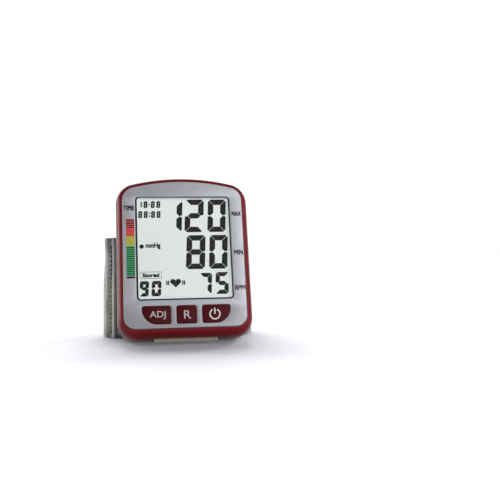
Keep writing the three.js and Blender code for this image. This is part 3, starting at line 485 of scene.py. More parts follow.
@dataclass(frozen=True)
class LcdPolariser(Finish):
    """Reflective liquid crystal panel: a pale grey-green ground with a satin film over it.

    Args:
        edge: Colour towards the panel's edges.
        lit: Colour of the painted glow, which evens out the shade of the panel's recess.
        painted_glow: Strength of that painted glow.
    """

    edge: str = "#ffffff"
    lit: str = "#ffffff"
    painted_glow: float = 0.0

    def sockets(self) -> dict[str, Any]:
        """A satin film with a painted glow of its own."""
        return {"Roughness": self.roughness, "Specular IOR Level": 0.15,
                "Emission Color": linear(self.lit), "Emission Strength": self.painted_glow}

    def pattern(self, tree: Tree, place: Socket) -> dict[str, Any]:
        """A slow change of tone and the film's fine tooth.

        Args:
            tree: The material's node tree.
            place: Socket of a place on the surface, in metres.

        Returns:
            The shader inputs that it drives.
        """
        return {"Base Color": mottle(tree, place, 40.0, linear(self.colour), linear(self.edge), 1.0),
                "Normal": bumped(tree, clouds(tree, place, 0.25, 1.0), 0.003)}


@dataclass(frozen=True)
class ClearAcrylic(Finish):
    """Polished acrylic window: nearly unseen from the front, with a hard thin reflection.

    Args:
        cover: How much of what is behind the window it hides.
    """

    cover: float = 0.009

    def sockets(self) -> dict[str, Any]:
        """Acrylic's IOR, with most of the surface let through."""
        return {"Base Color": linear(self.colour), "IOR": 1.49, "Alpha": self.cover}

    def pattern(self, tree: Tree, place: Socket) -> dict[str, Any]:
        """Faint wipe marks in the gloss.

        Args:
            tree: The material's node tree.
            place: Socket of a place on the surface, in metres.

        Returns:
            The shader inputs that it drives.
        """
        return {"Roughness": varied_gloss(tree, place, 5.0, self.roughness, self.roughness + 0.05)}


@dataclass(frozen=True)
class PlatedSteel(Finish):
    """Nickel-plated steel: bright metal with fine drawing lines along it.

    Args:
        line_mm: Width of a drawing line.
    """

    line_mm: float = 0.3

    def sockets(self) -> dict[str, Any]:
        """A metal, with the default IOR."""
        return {"Metallic": 1.0}

    def pattern(self, tree: Tree, place: Socket) -> dict[str, Any]:
        """Drawing lines and a slow change of tone.

        Args:
            tree: The material's node tree.
            place: Socket of a place on the surface, in metres.

        Returns:
            The shader inputs that it drives.
        """
        drawn = add_node(tree, "ShaderNodeMapping", inputs={
            "Vector": place, "Scale": (0.08, 1.0, 1.0)}).outputs["Vector"]
        dim = tuple(0.75 * c for c in linear(self.colour)[:3]) + (1.0,)
        return {"Base Color": mottle(tree, place, 3.0, linear(self.colour), dim),
                "Roughness": varied_gloss(tree, drawn, 0.6, self.roughness, self.roughness + 0.15),
                "Normal": bumped(tree, clouds(tree, drawn, self.line_mm, 3.0), 0.008)}


@dataclass(frozen=True)
class Paper(Finish):
    """Coated paper for the table: plain, pale and matt.

    Args:
        edge: Colour that the sheet's clouds go to.
    """

    edge: str = "#afb0b5"

    def sockets(self) -> dict[str, Any]:
        """A matt sheet."""
        return {"Roughness": self.roughness, "Specular IOR Level": 0.2}

    def pattern(self, tree: Tree, place: Socket) -> dict[str, Any]:
        """A faint change of tone.

        Args:
            tree: The material's node tree.
            place: Socket of a place on the surface, in metres.

        Returns:
            The shader inputs that it drives.
        """
        return {"Base Color": mottle(tree, place, 300.0, linear(self.colour), linear(self.edge))}


BURGUNDY_ABS = MouldedPlastic("burgundy_abs", "#640a12", 0.28, shade="#5b0910", edge="#742831", gloss=0.16)
KEY_ABS = MouldedPlastic("key_abs", "#44070b", 0.42, shade="#3d0609", edge="#6d1a20", gloss=0.08)
SILVER_LACQUER = MetallicPaint("silver_lacquer", "#909297", 0.4, flake="#adaeb3")
GREY_ABS = MouldedPlastic("grey_abs", "#717275", 0.5, shade="#6a6b6e", edge="#8a8b8e", grain_mm=0.5,
                          grain_depth_mm=0.03)
IVORY_ABS = MouldedPlastic("ivory_abs", "#8f8977", 0.5, shade="#888270", edge="#a09a88", grain_mm=0.5,
                           grain_depth_mm=0.02)
WHITE_ABS = MouldedPlastic("white_abs", "#e9e9e4", 0.5, shade="#e0e0da", edge="#ffffff")
BLACK_ABS = MouldedPlastic("black_abs", "#24262a", 0.5, shade="#1c1e21", edge="#3a3d42")
GASKET_RUBBER = MouldedPlastic("moulded_black_rubber", "#1f2225", 0.7, shade="#1b1d20", edge="#2c2f33",
                               grain_depth_mm=0.006, gloss=0.1)
SILICONE = MouldedPlastic("extruded_silicone", "#d9dcd8", 0.55, shade="#cfd3ce", edge="#e8eae7")
SOLDER_MASK = MouldedPlastic("solder_mask", "#24593a", 0.4, shade="#1d4b30", edge="#3a7350", coat=0.2)
CELL_SLEEVE = MouldedPlastic("cell_sleeve", "#3d4a57", 0.35, shade="#36424e", edge="#5b6772", coat=0.3)
WINDOW_ACRYLIC = ClearAcrylic("window_acrylic", "#f4f8f7", 0.06)
# the panel's glow is painted light, standing in for the light that its recess shades off
LCD_FILM = LcdPolariser("lcd_film", "#7b7e7d", 0.5, edge="#7f8281", lit="#d9dddc", painted_glow=0.69)
SEGMENT_INK = Ink("segment_ink", "#070806", 0.6, thin="#0d0e0c")
LEGEND_INK = Ink("legend_ink", "#111216", 0.5, thin="#1a1b20")
CREAM_INK = Ink("cream_ink", "#c4bfbb", 0.5, thin="#b6b0ac")
WORN_INK = Ink("worn_cream_ink", "#a9a3a2", 0.5, thin="#989292")
MAROON_INK = Ink("maroon_ink", "#500f15", 0.5, thin="#480d12")
RED_INK = Ink("red_ink", "#b0423e", 0.5, thin="#a84541")
PALE_RED_INK = Ink("pale_red_ink", "#a8585a", 0.5, thin="#a05456")
DEEP_RED_INK = Ink("deep_red_ink", "#a44243", 0.5, thin="#993c3d")
YELLOW_INK = Ink("yellow_ink", "#9c993f", 0.5, thin="#949046")
AMBER_INK = Ink("amber_ink", "#95863b", 0.5, thin="#8d7e3b")
GREEN_INK = Ink("green_ink", "#4f9c6d", 0.5, thin="#54a072")
DARK_GREEN_INK = Ink("dark_green_ink", "#003317", 0.5, thin="#02371a")
NICKEL_STEEL = PlatedSteel("nickel_steel", "#b9bcc0", 0.3)
COVER_CLOTH = PileCloth("charcoal_loop_cloth", "#7c7b7c", 0.95, dark="#515051", light="#8a898a", sheen=0.3)
LINING_CLOTH = PileCloth("charcoal_lining_cloth", "#47494a", 0.95, dark="#2a2b2c", light="#56585a",
                         loop_mm=0.5, loop_depth_mm=0.15)
BINDING_TAPE = PileCloth("charcoal_binding_tape", "#3f4142", 0.9, dark="#26282a", light="#4c4f51",
                         loop_mm=0.45, loop_depth_mm=0.12, comb=2.0)
STRAP_CLOTH = PileCloth("grey_loop_strap", "#bbbab4", 0.95, dark="#8d8c86", light="#cecdc6", loop_mm=0.55,
                        loop_depth_mm=0.16, sheen=0.4)
# paler cloth of the strap's folded end: a painted highlight along the fold
STRAP_FOLD_HIGHLIGHT = PileCloth("strap_fold_painted_highlight", "#d0d1cc", 0.9, dark="#b8b9b3", light="#dedfda", loop_mm=0.4,
                       loop_depth_mm=0.1)
HOOK_NYLON = PileCloth("moulded_hook_nylon", "#2b2c2e", 0.6, dark="#141516", light="#3d3f42", loop_mm=0.9,
                       loop_depth_mm=0.4, comb=1.0)
STRAP_THREAD = Thread("strap_thread", "#1f1d1c", 0.7)
TABLE_SHEET = Paper("table_sheet", "#b1b2b7", 0.9)


# Mesh helpers


def mesh_piece(name: str, points: Sequence[Vector], faces: Faces, finish: Finish,
               sharp_deg: float = 40.0) -> Piece:
    """Makes an object from points in the part's frame, smooth up to an angle.

    Args:
        name: The piece's name.
        points: Vertices, in metres.
        faces: Vertex numbers of each face.
        finish: Its surface.
        sharp_deg: Edges sharper than this stay hard.

    Returns:
        The object, linked to the scene.
    """
    mesh = bpy.data.meshes.new(name)
    mesh.from_pydata([tuple(p) for p in points], [], faces)
    return dressed(name, mesh, finish, sharp_deg)


def dressed(name: str, mesh: bpy.types.Mesh, finish: Finish, sharp_deg: float = 40.0) -> Piece:
    """Welds a mesh, turns its faces outwards and links it as an object with a finish.

    Args:
        name: The piece's name.
        mesh: The mesh, in the part's frame.
        finish: Its surface.
        sharp_deg: Edges sharper than this stay hard.

    Returns:
        The object.
    """
    work = bmesh.new()
    work.from_mesh(mesh)
    bmesh.ops.remove_doubles(work, verts=work.verts, dist=1e-6)
    bmesh.ops.dissolve_degenerate(work, edges=work.edges, dist=1e-7)
    bmesh.ops.recalc_face_normals(work, faces=work.faces)
    work.to_mesh(mesh)
    work.free()
    mesh.materials.clear()
    mesh.materials.append(finish.build())
    mesh.shade_smooth()
    mesh.set_sharp_from_angle(angle=math.radians(sharp_deg))
    made = bpy.data.objects.new(name, mesh)
    bpy.context.scene.collection.objects.link(made)
    return made


def loop_faces(rings: int, count: int, closed: bool) -> Faces:
    """Faces between rings of points.

    Args:
        rings: Number of rings.
        count: Points in each.
        closed: Whether the last ring joins the first; otherwise both ends are capped.

    Returns:
        The faces.
    """
    faces: Faces = []
    for ring in range(rings if closed else rings - 1):
        near, far = ring * count, ((ring + 1) % rings) * count
        for i in range(count):
            j = (i + 1) % count
            faces.append((near + i, near + j, far + j, far + i))
    if not closed:
        faces.append(tuple(range(count)))
        faces.append(tuple(range((rings - 1) * count, rings * count)))
    return faces


def baked(made: Piece) -> bpy.types.Mesh:
    """Applies an object's modifiers or curve settings, and removes the object.

    Args:
        made: The object.

    Returns:
        The finished mesh.
    """
    view = bpy.context.evaluated_depsgraph_get()
    mesh = bpy.data.meshes.new_from_object(made.evaluated_get(view))
    data = made.data
    bpy.data.objects.remove(made)
    if isinstance(data, bpy.types.Curve):
        bpy.data.curves.remove(data)
    return mesh


def arc(cx: float, cy: float, radius: float, start: float, end: float, steps: int) -> list[Point2]:
    """Points on an arc between two angles in degrees, both ends included."""
    turns = [math.radians(start + (end - start) * i / steps) for i in range(steps + 1)]
    return [(cx + radius * math.cos(t), cy + radius * math.sin(t)) for t in turns]


def rounded_box(width: float, height: float, radius: float, cx: float = 0.0, cy: float = 0.0,
                steps: int = 8) -> list[Point2]:
    """A rounded rectangle as points.

    Args:
        width: Its width.
        height: Its height.
        radius: Radius of its corners.
        cx: Its middle across.
        cy: Its middle upwards.
        steps: Steps in each corner.

    Returns:
        The outline, anticlockwise.
    """
    x, y = width / 2 - radius, height / 2 - radius
    return [*arc(cx + x, cy - y, radius, -90, 0, steps), *arc(cx + x, cy + y, radius, 0, 90, steps),
            *arc(cx - x, cy + y, radius, 90, 180, steps), *arc(cx - x, cy - y, radius, 180, 270, steps)]


@dataclass(frozen=True)
class FaceFrame:
    """The face's own axes in the part's frame.

    Args:
        origin: The display's centre on the face, in metres.
        lean_deg: How far the face leans back.
    """

    origin: Vector
    lean_deg: float

    @property
    def matrix(self) -> Matrix:
        """Takes face millimetres to the part's frame."""
        tilt = Matrix.Rotation(math.radians(90 - self.lean_deg), 4, "X")
        return Matrix.Translation(self.origin) @ tilt @ Matrix.Scale(MM, 4)

    def point(self, u: float, v: float, w: float) -> Vector:
        """A point of the face in the part's frame."""
        return self.matrix @ Vector((u, v, w))


def plate(name: str, face: FaceFrame, outlines: Sequence[Sequence[Point2]], low: float, high: float,
          finish: Finish, bevel: float = 0.0, steps: int = 2) -> Piece:
    """A flat plate on the face with rounded edges; outlines inside others are holes.

    Args:
        name: The piece's name.
        face: The face's frame.
        outlines: Closed outlines, in face millimetres.
        low: Height of its back.
        high: Height of its front.
        finish: Its surface.
        bevel: Rounding of its edges, inside the outline.
        steps: Steps in the rounding.

    Returns:
        The object.
    """
    curve = bpy.data.curves.new(name, "CURVE")
    curve.dimensions = "2D"
    curve.fill_mode = "BOTH"
    curve.extrude = (high - low) / 2 - bevel
    curve.bevel_depth = bevel
    curve.bevel_resolution = steps
    curve.offset = -bevel
    for outline in outlines:
        spline = curve.splines.new("POLY")
        spline.points.add(len(outline) - 1)
        for point, (x, y) in zip(spline.points, outline):
            point.co = (x, y, 0.0, 1.0)
        spline.use_cyclic_u = True
    made = bpy.data.objects.new(name, curve)
    bpy.context.scene.collection.objects.link(made)
    mesh = baked(made)
    mesh.transform(face.matrix @ Matrix.Translation((0, 0, (low + high) / 2)))
    return dressed(name, mesh, finish)


def prisms(name: str, face: FaceFrame, outlines: Sequence[Sequence[Point2]], low: float, high: float,
           finish: Finish) -> Piece:
    """Flat prisms on the face, one for each convex outline, that may stand as close as they like.

    Args:
        name: The piece's name.
        face: The face's frame.
        outlines: Convex outlines, in face millimetres.
        low: Height of their backs.
        high: Height of their fronts.
        finish: Their surface.

    Returns:
        The object.
    """
    points: list[Vector] = []
    faces: Faces = []
    for outline in outlines:
        base, count = len(points), len(outline)
        points += [face.point(u, v, w) for w in (low, high) for u, v in outline]
        faces += [tuple(base + i for i in ring) for ring in loop_faces(2, count, False)]
    return mesh_piece(name, points, faces, finish)


def lettering(name: str, face: FaceFrame, text: str, box: Box, low: float, high: float, finish: Finish,
              weight: float = 0.0) -> Piece:
    """Plain words in the built-in font, fitted to a box on the face.

    Args:
        name: The piece's name.
        face: The face's frame.
        text: The words.
        box: Left, right, lower and upper limits in face millimetres.
        low: Height of its back.
        high: Height of its front.
        finish: Its ink.
        weight: How far the strokes are fattened on each side, in millimetres.

    Returns:
        The object.
    """
    curve = bpy.data.curves.new(name, "FONT")
    curve.body = text
    curve.resolution_u = 4
    curve.extrude = 0.5
    made = bpy.data.objects.new(name, curve)
    bpy.context.scene.collection.objects.link(made)
    mesh = baked(made)
    xs = [v.co.x for v in mesh.vertices]
    ys = [v.co.y for v in mesh.vertices]
    left, right, bottom, top = box[0] + weight, box[1] - weight, box[2] + weight, box[3] - weight
    wide, tall = (right - left) / (max(xs) - min(xs)), (top - bottom) / (max(ys) - min(ys))
    work = bmesh.new()
    shifts = [(0, 0)] if weight == 0 else [(-1, -1), (-1, 1), (1, -1), (1, 1), (0, 0)]
    for layer, (across, along) in enumerate(shifts):
        depth = (high - low) * (1 - 0.06 * layer)
        fit = (Matrix.Translation((left + across * weight, bottom + along * weight, low + depth / 2))
               @ Matrix.Diagonal((wide, tall, depth, 1.0))
               @ Matrix.Translation((-min(xs), -min(ys), 0.0)))
        copy = mesh.copy()
        copy.transform(face.matrix @ fit)
        work.from_mesh(copy)
        bpy.data.meshes.remove(copy)
    work.to_mesh(mesh)
    work.free()
    return dressed(name, mesh, finish)


def inset(polygon: Sequence[Point2], gap: float) -> list[Point2]:
    """Draws a convex polygon in by a gap on every side.

    Args:
        polygon: The polygon, anticlockwise.
        gap: The gap.

    Returns:
        The smaller polygon.
    """
    lines = []
    for (x0, y0), (x1, y1) in zip(polygon, [*polygon[1:], polygon[0]]):
        length = math.hypot(x1 - x0, y1 - y0)
        nx, ny = -(y1 - y0) / length, (x1 - x0) / length
        lines.append((nx, ny, nx * x0 + ny * y0 + gap))
    corners = []
    for (a0, b0, c0), (a1, b1, c1) in zip([lines[-1], *lines[:-1]], lines):
        det = a0 * b1 - a1 * b0
        corners.append(((c0 * b1 - c1 * b0) / det, (a0 * c1 - a1 * c0) / det))
    return corners


def refined(node: str, finish: Finish, bevel_mm: float, sharp_deg: float = 32.0) -> Piece:
    """A piece in a CAD node's shape, with its edges rounded and its round faces smooth.

    Args:
        node: The CAD node that the piece stands for.
        finish: Its surface.
        bevel_mm: Rounding of the edges.
        sharp_deg: Edges sharper than this are rounded.

    Returns:
        The object.
    """
    source = frame["nodes"][node]
    mesh = source.data.copy()
    work = bmesh.new()
    work.from_mesh(mesh)
    bmesh.ops.remove_doubles(work, verts=work.verts, dist=2e-6)
    bmesh.ops.dissolve_limit(work, angle_limit=math.radians(1.0), verts=work.verts, edges=work.edges)
    work.to_mesh(mesh)
    work.free()
    if mesh.attributes.get("custom_normal"):
        mesh.attributes.remove(mesh.attributes["custom_normal"])
    mesh.shade_smooth()
    holder = bpy.data.objects.new(node + "_work", mesh)
    bpy.context.scene.collection.objects.link(holder)
    rounding = holder.modifiers.new("rounding", "BEVEL")
    rounding.width = bevel_mm * MM
    rounding.segments = 2
    rounding.limit_method = "ANGLE"
    rounding.angle_limit = math.radians(sharp_deg)
    rounding.use_clamp_overlap = True
    made = dressed(node + "_moulding", baked(holder), finish, sharp_deg)
    levelled = made.modifiers.new("levelled", "WEIGHTED_NORMAL")
    levelled.keep_sharp = True
    levelled.weight = 100
    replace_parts(made, node)
    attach(made, source["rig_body"])
    return made


# Housing


# Section of the lip on the door's tab: back from the tab's front and up from its floor
LIP_SECTION = ((1.0, 0.1), (1.0, 1.9), (0.2, 2.12), (-0.1, 2.2), (-0.25, 2.05), (-0.25, 0.3), (-0.1, 0.1))


@dataclass
class Housing:
    """The moulded housing: front shell, faceplate and rear case, with their sizes in millimetres.

    Args:
        face: The face's frame.
        plate_half: Half the faceplate's width; it reaches plate_above and plate_below the display's centre.
        plate_slide: How far the faceplate sits to the left in its recess.
        crown: Radius of the faceplate's upper edge.
        rim_side: How far the rim spreads at the sides; rim_top, rim_bottom and rim_corner are alike.
        parting: Depth of the line between the two halves.
        ledge: How far the shell reaches in under the faceplate.
        notch_half: Half the width of the notch over the door's tab.
        notch_ends: How far the notch's ends run out, inside and outside that width.
        notch_start: Depth at which the notch opens.
        notch_rise: How far its opening runs out, in front of that depth and behind it.
        window_out: Gap between the display and the plate's window.
        window_slide: How far the window sits to the left.
        key_slide: Gap round a key.
        lip_gap: Gap between the door's lip and an end of the notch.
    """

    face: FaceFrame
    plate_half: float = 30.85
    plate_slide: float = 0.18
    plate_above: float = 35.3
    plate_below: float = 41.35
    top_corner: float = 7.0
    low_corner: float = 6.0
    crown: float = 105.0
    plate_thick: float = 0.8
    rim_side: float = 3.25
    rim_top: float = 3.0
    rim_bottom: float = 4.6
    rim_corner: float = 3.6
    rim_depth: float = 7.5
    parting: float = 10.0
    wall: float = 2.0
    shell_front: float = -1.1
    shell_back: float = -2.3
    fit: float = 0.12
    ledge: float = 1.5
    notch_half: float = 16.5
    notch_ends: Point2 = (0.5, 0.9)
    notch_height: float = 1.2
    notch_start: float = 5.2
    notch_rise: Point2 = (0.5, 0.3)
    display: Point2 = (47.32, 52.7)
    display_corner: float = 1.2
    window_out: float = 0.70
    window_slide: float = 0.11
    key_slide: float = 0.09
    lip_gap: float = 0.35

    def outline(self, side: float = 0.0, top: float = 0.0, bottom: float = 0.0,
                corner: float = 0.0, inner: float = 1.0) -> list[Point2]:
        """The face's outline grown from the faceplate, always with the same number of points.

        Args:
            side: Growth at the sides.
            top: Growth at the crown.
            bottom: Growth at the bottom.
            corner: Growth of the corner radii.
            inner: Share of the plate's slide to the left that the outline takes.

        Returns:
            The outline, anticlockwise from the lower right.
        """
        half, high, low = self.plate_half + side, self.plate_above + top, -self.plate_below - bottom
        upper, lower, crown = self.top_corner + corner, self.low_corner + corner, self.crown + top
        crown_y = high - crown
        corner_x = half - upper
        corner_y = crown_y + math.sqrt((crown - upper) ** 2 - corner_x ** 2)
        meet = math.degrees(math.atan2(corner_y - crown_y, corner_x))
        foot = half - lower
        right = [(half, low + lower + (corner_y - low - lower) * i / 12) for i in range(12)]
        base = [(-foot + 2 * foot * i / 120, low) for i in range(120)]
        ring = [*arc(foot, low + lower, lower, -90, 0, 16)[:-1], *right,
                *arc(corner_x, corner_y, upper, 0, meet, 16)[:-1],
                *arc(0, crown_y, crown, meet, 180 - meet, 40)[:-1],
                *arc(-corner_x, corner_y, upper, 180 - meet, 180, 16)[:-1],
                *[(-x, low + lower + corner_y - y) for x, y in right],
                *arc(-foot, low + lower, lower, 180, 270, 16)[:-1], *base]
        return [(x - self.plate_slide * inner, y) for x, y in ring]

    def rim(self, spread: float, draw_in: float = 0.0) -> list[Point2]:
        """The shell's outline on its way from the faceplate to its widest.

        Args:
            spread: Share of the rim's spread, from 0 to 1.
            draw_in: How far the outline is drawn in.

        Returns:
            The outline.
        """
        grow = self.fit - draw_in
        return self.outline(grow + self.rim_side * spread, grow + self.rim_top * spread,
                            grow + self.rim_bottom * spread, grow + self.rim_corner * spread, 1 - spread)

    def shell_stations(self) -> list[tuple[float, list[Point2]]]:
        """The front shell's section, as heights and outlines round its closed loop."""
        stations = []
        steps = 16
        for i in range(steps + 1):
            turn = math.radians(90 * i / steps)
            stations.append((-self.rim_depth * (1 - math.cos(turn)), self.rim(math.sin(turn))))
        seam = 0.3
        stations.append((-self.parting + seam, self.rim(1.0)))
        stations.append((-self.parting, self.rim(1.0, seam)))
        stations.append((-self.parting, self.rim(1.0, self.wall)))
        stations.append((-self.rim_depth, self.rim(1.0, self.wall)))
        spread = math.sqrt(1 - (1 + self.shell_back / self.rim_depth) ** 2)
        stations.append((self.shell_back, self.rim(spread, self.wall)))
        stations.append((self.shell_back, self.rim(0.0, self.ledge)))
        stations.append((self.shell_front, self.rim(0.0, self.ledge)))
        stations.append((self.shell_front, self.rim(0.0)))
        return stations

    def notched(self, u: float, v: float, w: float) -> float:
        """The height that a point of the shell's lower edge takes where the notch lifts it.

        Args:
            u: The point's place across the face.
            v: Its height on the face.
            w: Its height out of the face.

        Returns:
            The new height on the face.
        """
        inside, outside = self.notch_ends
        before, behind = self.notch_rise
        lift = self.notch_height * (1 - ease(abs(u), self.notch_half - inside, self.notch_half + outside))
        lift *= ease(-w, self.notch_start - before, self.notch_start + behind)
        floor = -self.plate_below - self.fit - self.rim_bottom
        return max(v, floor + lift)

    def front_shell(self) -> Piece:
        """Builds the burgundy front half."""
        stations = self.shell_stations()
        points = [self.face.point(u, self.notched(u, v, w), w) for w, ring in stations for u, v in ring]
        made = mesh_piece("front_shell_moulding", points,
                          loop_faces(len(stations), len(stations[0][1]), True), BURGUNDY_ABS, 50)
        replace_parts(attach(made, ROOT), "front_shell")
        return made

    def window(self, grow: float) -> list[Point2]:
        """The display's outline, grown by a gap."""
        width, height = (size + 2 * grow for size in self.display)
        return rounded_box(width, height, self.display_corner + grow, -self.window_slide)

    def faceplate(self, keys: "KeyRow") -> Piece:
        """Builds the silver plate with its window and key openings.

        Args:
            keys: The keys that it has openings for.

        Returns:
            The object.
        """
        holes = [self.window(self.window_out), *(keys.outline(key, self.key_slide) for key in Key)]
        made = plate("faceplate_lacquered", self.face, [self.outline(), *holes], -self.plate_thick,
                     PLATE_PROUD, SILVER_LACQUER, bevel=0.4, steps=4)
        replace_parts(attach(made, ROOT), "faceplate")
        return made

    def rear(self) -> list[Piece]:
        """Dresses the rear case and the battery door."""
        case = refined("rear_case", GREY_ABS, 0.35)
        door = refined("battery_door", IVORY_ABS, 0.25)
        return [case, door, self.finger_lip(door)]

    def finger_lip(self, door: Piece) -> Piece:
        """Builds the raised lip along the front of the door's finger tab, under the notch.

        Args:
            door: The door that it rides with.

        Returns:
            The object.
        """
        low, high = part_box("battery_door")
        middle, front, floor = (low.x + high.x) / 2, low.y, low.z
        half = self.notch_half - self.lip_gap
        points = [Vector((middle + side * half * MM, front + y * MM, floor + z * MM))
                  for side in (-1, 1) for y, z in LIP_SECTION]
        made = mesh_piece("door_finger_lip", points, loop_faces(2, len(LIP_SECTION), False), IVORY_ABS, 30)
        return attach(made, door["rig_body"])

    def build(self, keys: "KeyRow") -> list[Piece]:
        """Builds every piece of the housing."""
        return [self.front_shell(), self.faceplate(keys), *self.rear()]


class Key(Enum):
    """The three keys from left to right, by their names in the CAD."""

    SET = "set"
    MEMORY = "memory"
    POWER = "power"

    @property
    def body(self) -> str:
        """The CAD body that the key rides on."""
        return f"{self.value}_key"


@dataclass
class KeyRow:
    """The three push keys and their marks, with sizes in face millimetres.

    Args:
        face: The face's frame.
        top: Height of the keys' upper edge; low is the same for the lower one.
        inner: Where a wide key starts, from the middle of the face; outer is where it ends.
        sweep: Radius of a wide key's lower outer corner.
        proud: How far the keys stand out of the face.
        foot: Where the keys end inside.
        ink: Thickness of the print.
        adjust_box: Limits of the left key's letters; recall_box is the same for the middle key.
        ring_at: Centre of the standby ring.
        ring_half: Half the width of its line.
        ring_arc: Degrees between which the ring is drawn.
        stroke_length: Length of the standby stroke.
        letter_weight: How far the letters are fattened.
    """

    face: FaceFrame
    top: float = -30.2
    low: float = -39.0
    memory_width: float = 9.7
    inner: float = 8.0
    outer: float = 21.9
    sweep: float = 7.4
    corner: float = 0.9
    proud: float = 0.8
    foot: float = -2.0
    ink: float = 0.03
    adjust_box: Box = (-18.3, -10.4, -36.9, -32.7)
    recall_box: Box = (-1.4, 2.1, -36.9, -32.7)
    ring_at: Point2 = (14.1, -34.9)
    ring_radius: float = 2.5
    ring_half: float = 0.36
    ring_arc: Point2 = (118, 422)
    stroke_length: float = 3.1
    letter_weight: float = 0.03

    def outline(self, key: Key, grow: float = 0.0) -> list[Point2]:
        """A key's outline, grown by a gap.

        Args:
            key: Which key.
            grow: The gap.

        Returns:
            The outline, anticlockwise.
        """
        top, low, corner = self.top + grow, self.low - grow, self.corner + grow
        if key is Key.MEMORY:
            return rounded_box(self.memory_width + 2 * grow, top - low, corner, 0.0, (top + low) / 2)
        near, far, sweep = self.inner - grow, self.outer + grow, self.sweep + grow
        right = [*arc(far - sweep, low + sweep, sweep, -90, 0, 16),
                 *arc(far - corner, top - corner, corner, 0, 90, 6),
                 *arc(near + corner, top - corner, corner, 90, 180, 6),
                 *arc(near + corner, low + corner, corner, 180, 270, 6)]
        return right if key is Key.POWER else [(-u, v) for u, v in reversed(right)]

    def cap(self, key: Key) -> Piece:
        """Builds one key with rounded edges.

        Args:
            key: Which key.

        Returns:
            The object.
        """
        made = plate(f"key_{key.value}_cap", self.face, [self.outline(key)], self.foot, self.proud, KEY_ABS,
                     bevel=0.32, steps=3)
        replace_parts(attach(made, key.body), f"key_{key.value}")
        return made

    def power_mark(self) -> Piece:
        """Builds the standby ring with its stroke."""
        u, v = self.ring_at
        half = self.ring_half
        ring = [*arc(u, v, self.ring_radius + half, *self.ring_arc, 40),
                *reversed(arc(u, v, self.ring_radius - half, *self.ring_arc, 40))]
        stroke = rounded_box(2 * half, self.stroke_length, half * 0.9, u, v + self.stroke_length / 2)
        return plate("power_mark", self.face, [ring, stroke], self.proud, self.proud + self.ink, CREAM_INK)

    def build(self) -> list[Piece]:
        """Builds the keys and their marks."""
        marks = {
            Key.SET: lettering("adjust_mark", self.face, "ADJ", self.adjust_box, self.proud,
                               self.proud + self.ink, WORN_INK, self.letter_weight),
            Key.MEMORY: lettering("recall_mark", self.face, "R", self.recall_box, self.proud,
                                  self.proud + self.ink, WORN_INK, self.letter_weight),
            Key.POWER: self.power_mark(),
        }
        caps = [self.cap(key) for key in Key]
        for key, mark in marks.items():
            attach(mark, key.body)
        return [*caps, *marks.values()]


# Display


# The segments that each digit lights, lettered clockwise from the top with g in the middle
SEGMENTS = {
    "0": "abcdef", "1": "bc", "2": "abged", "5": "afgcd", "7": "abc", "8": "abcdefg", "9": "abcdfg",
}


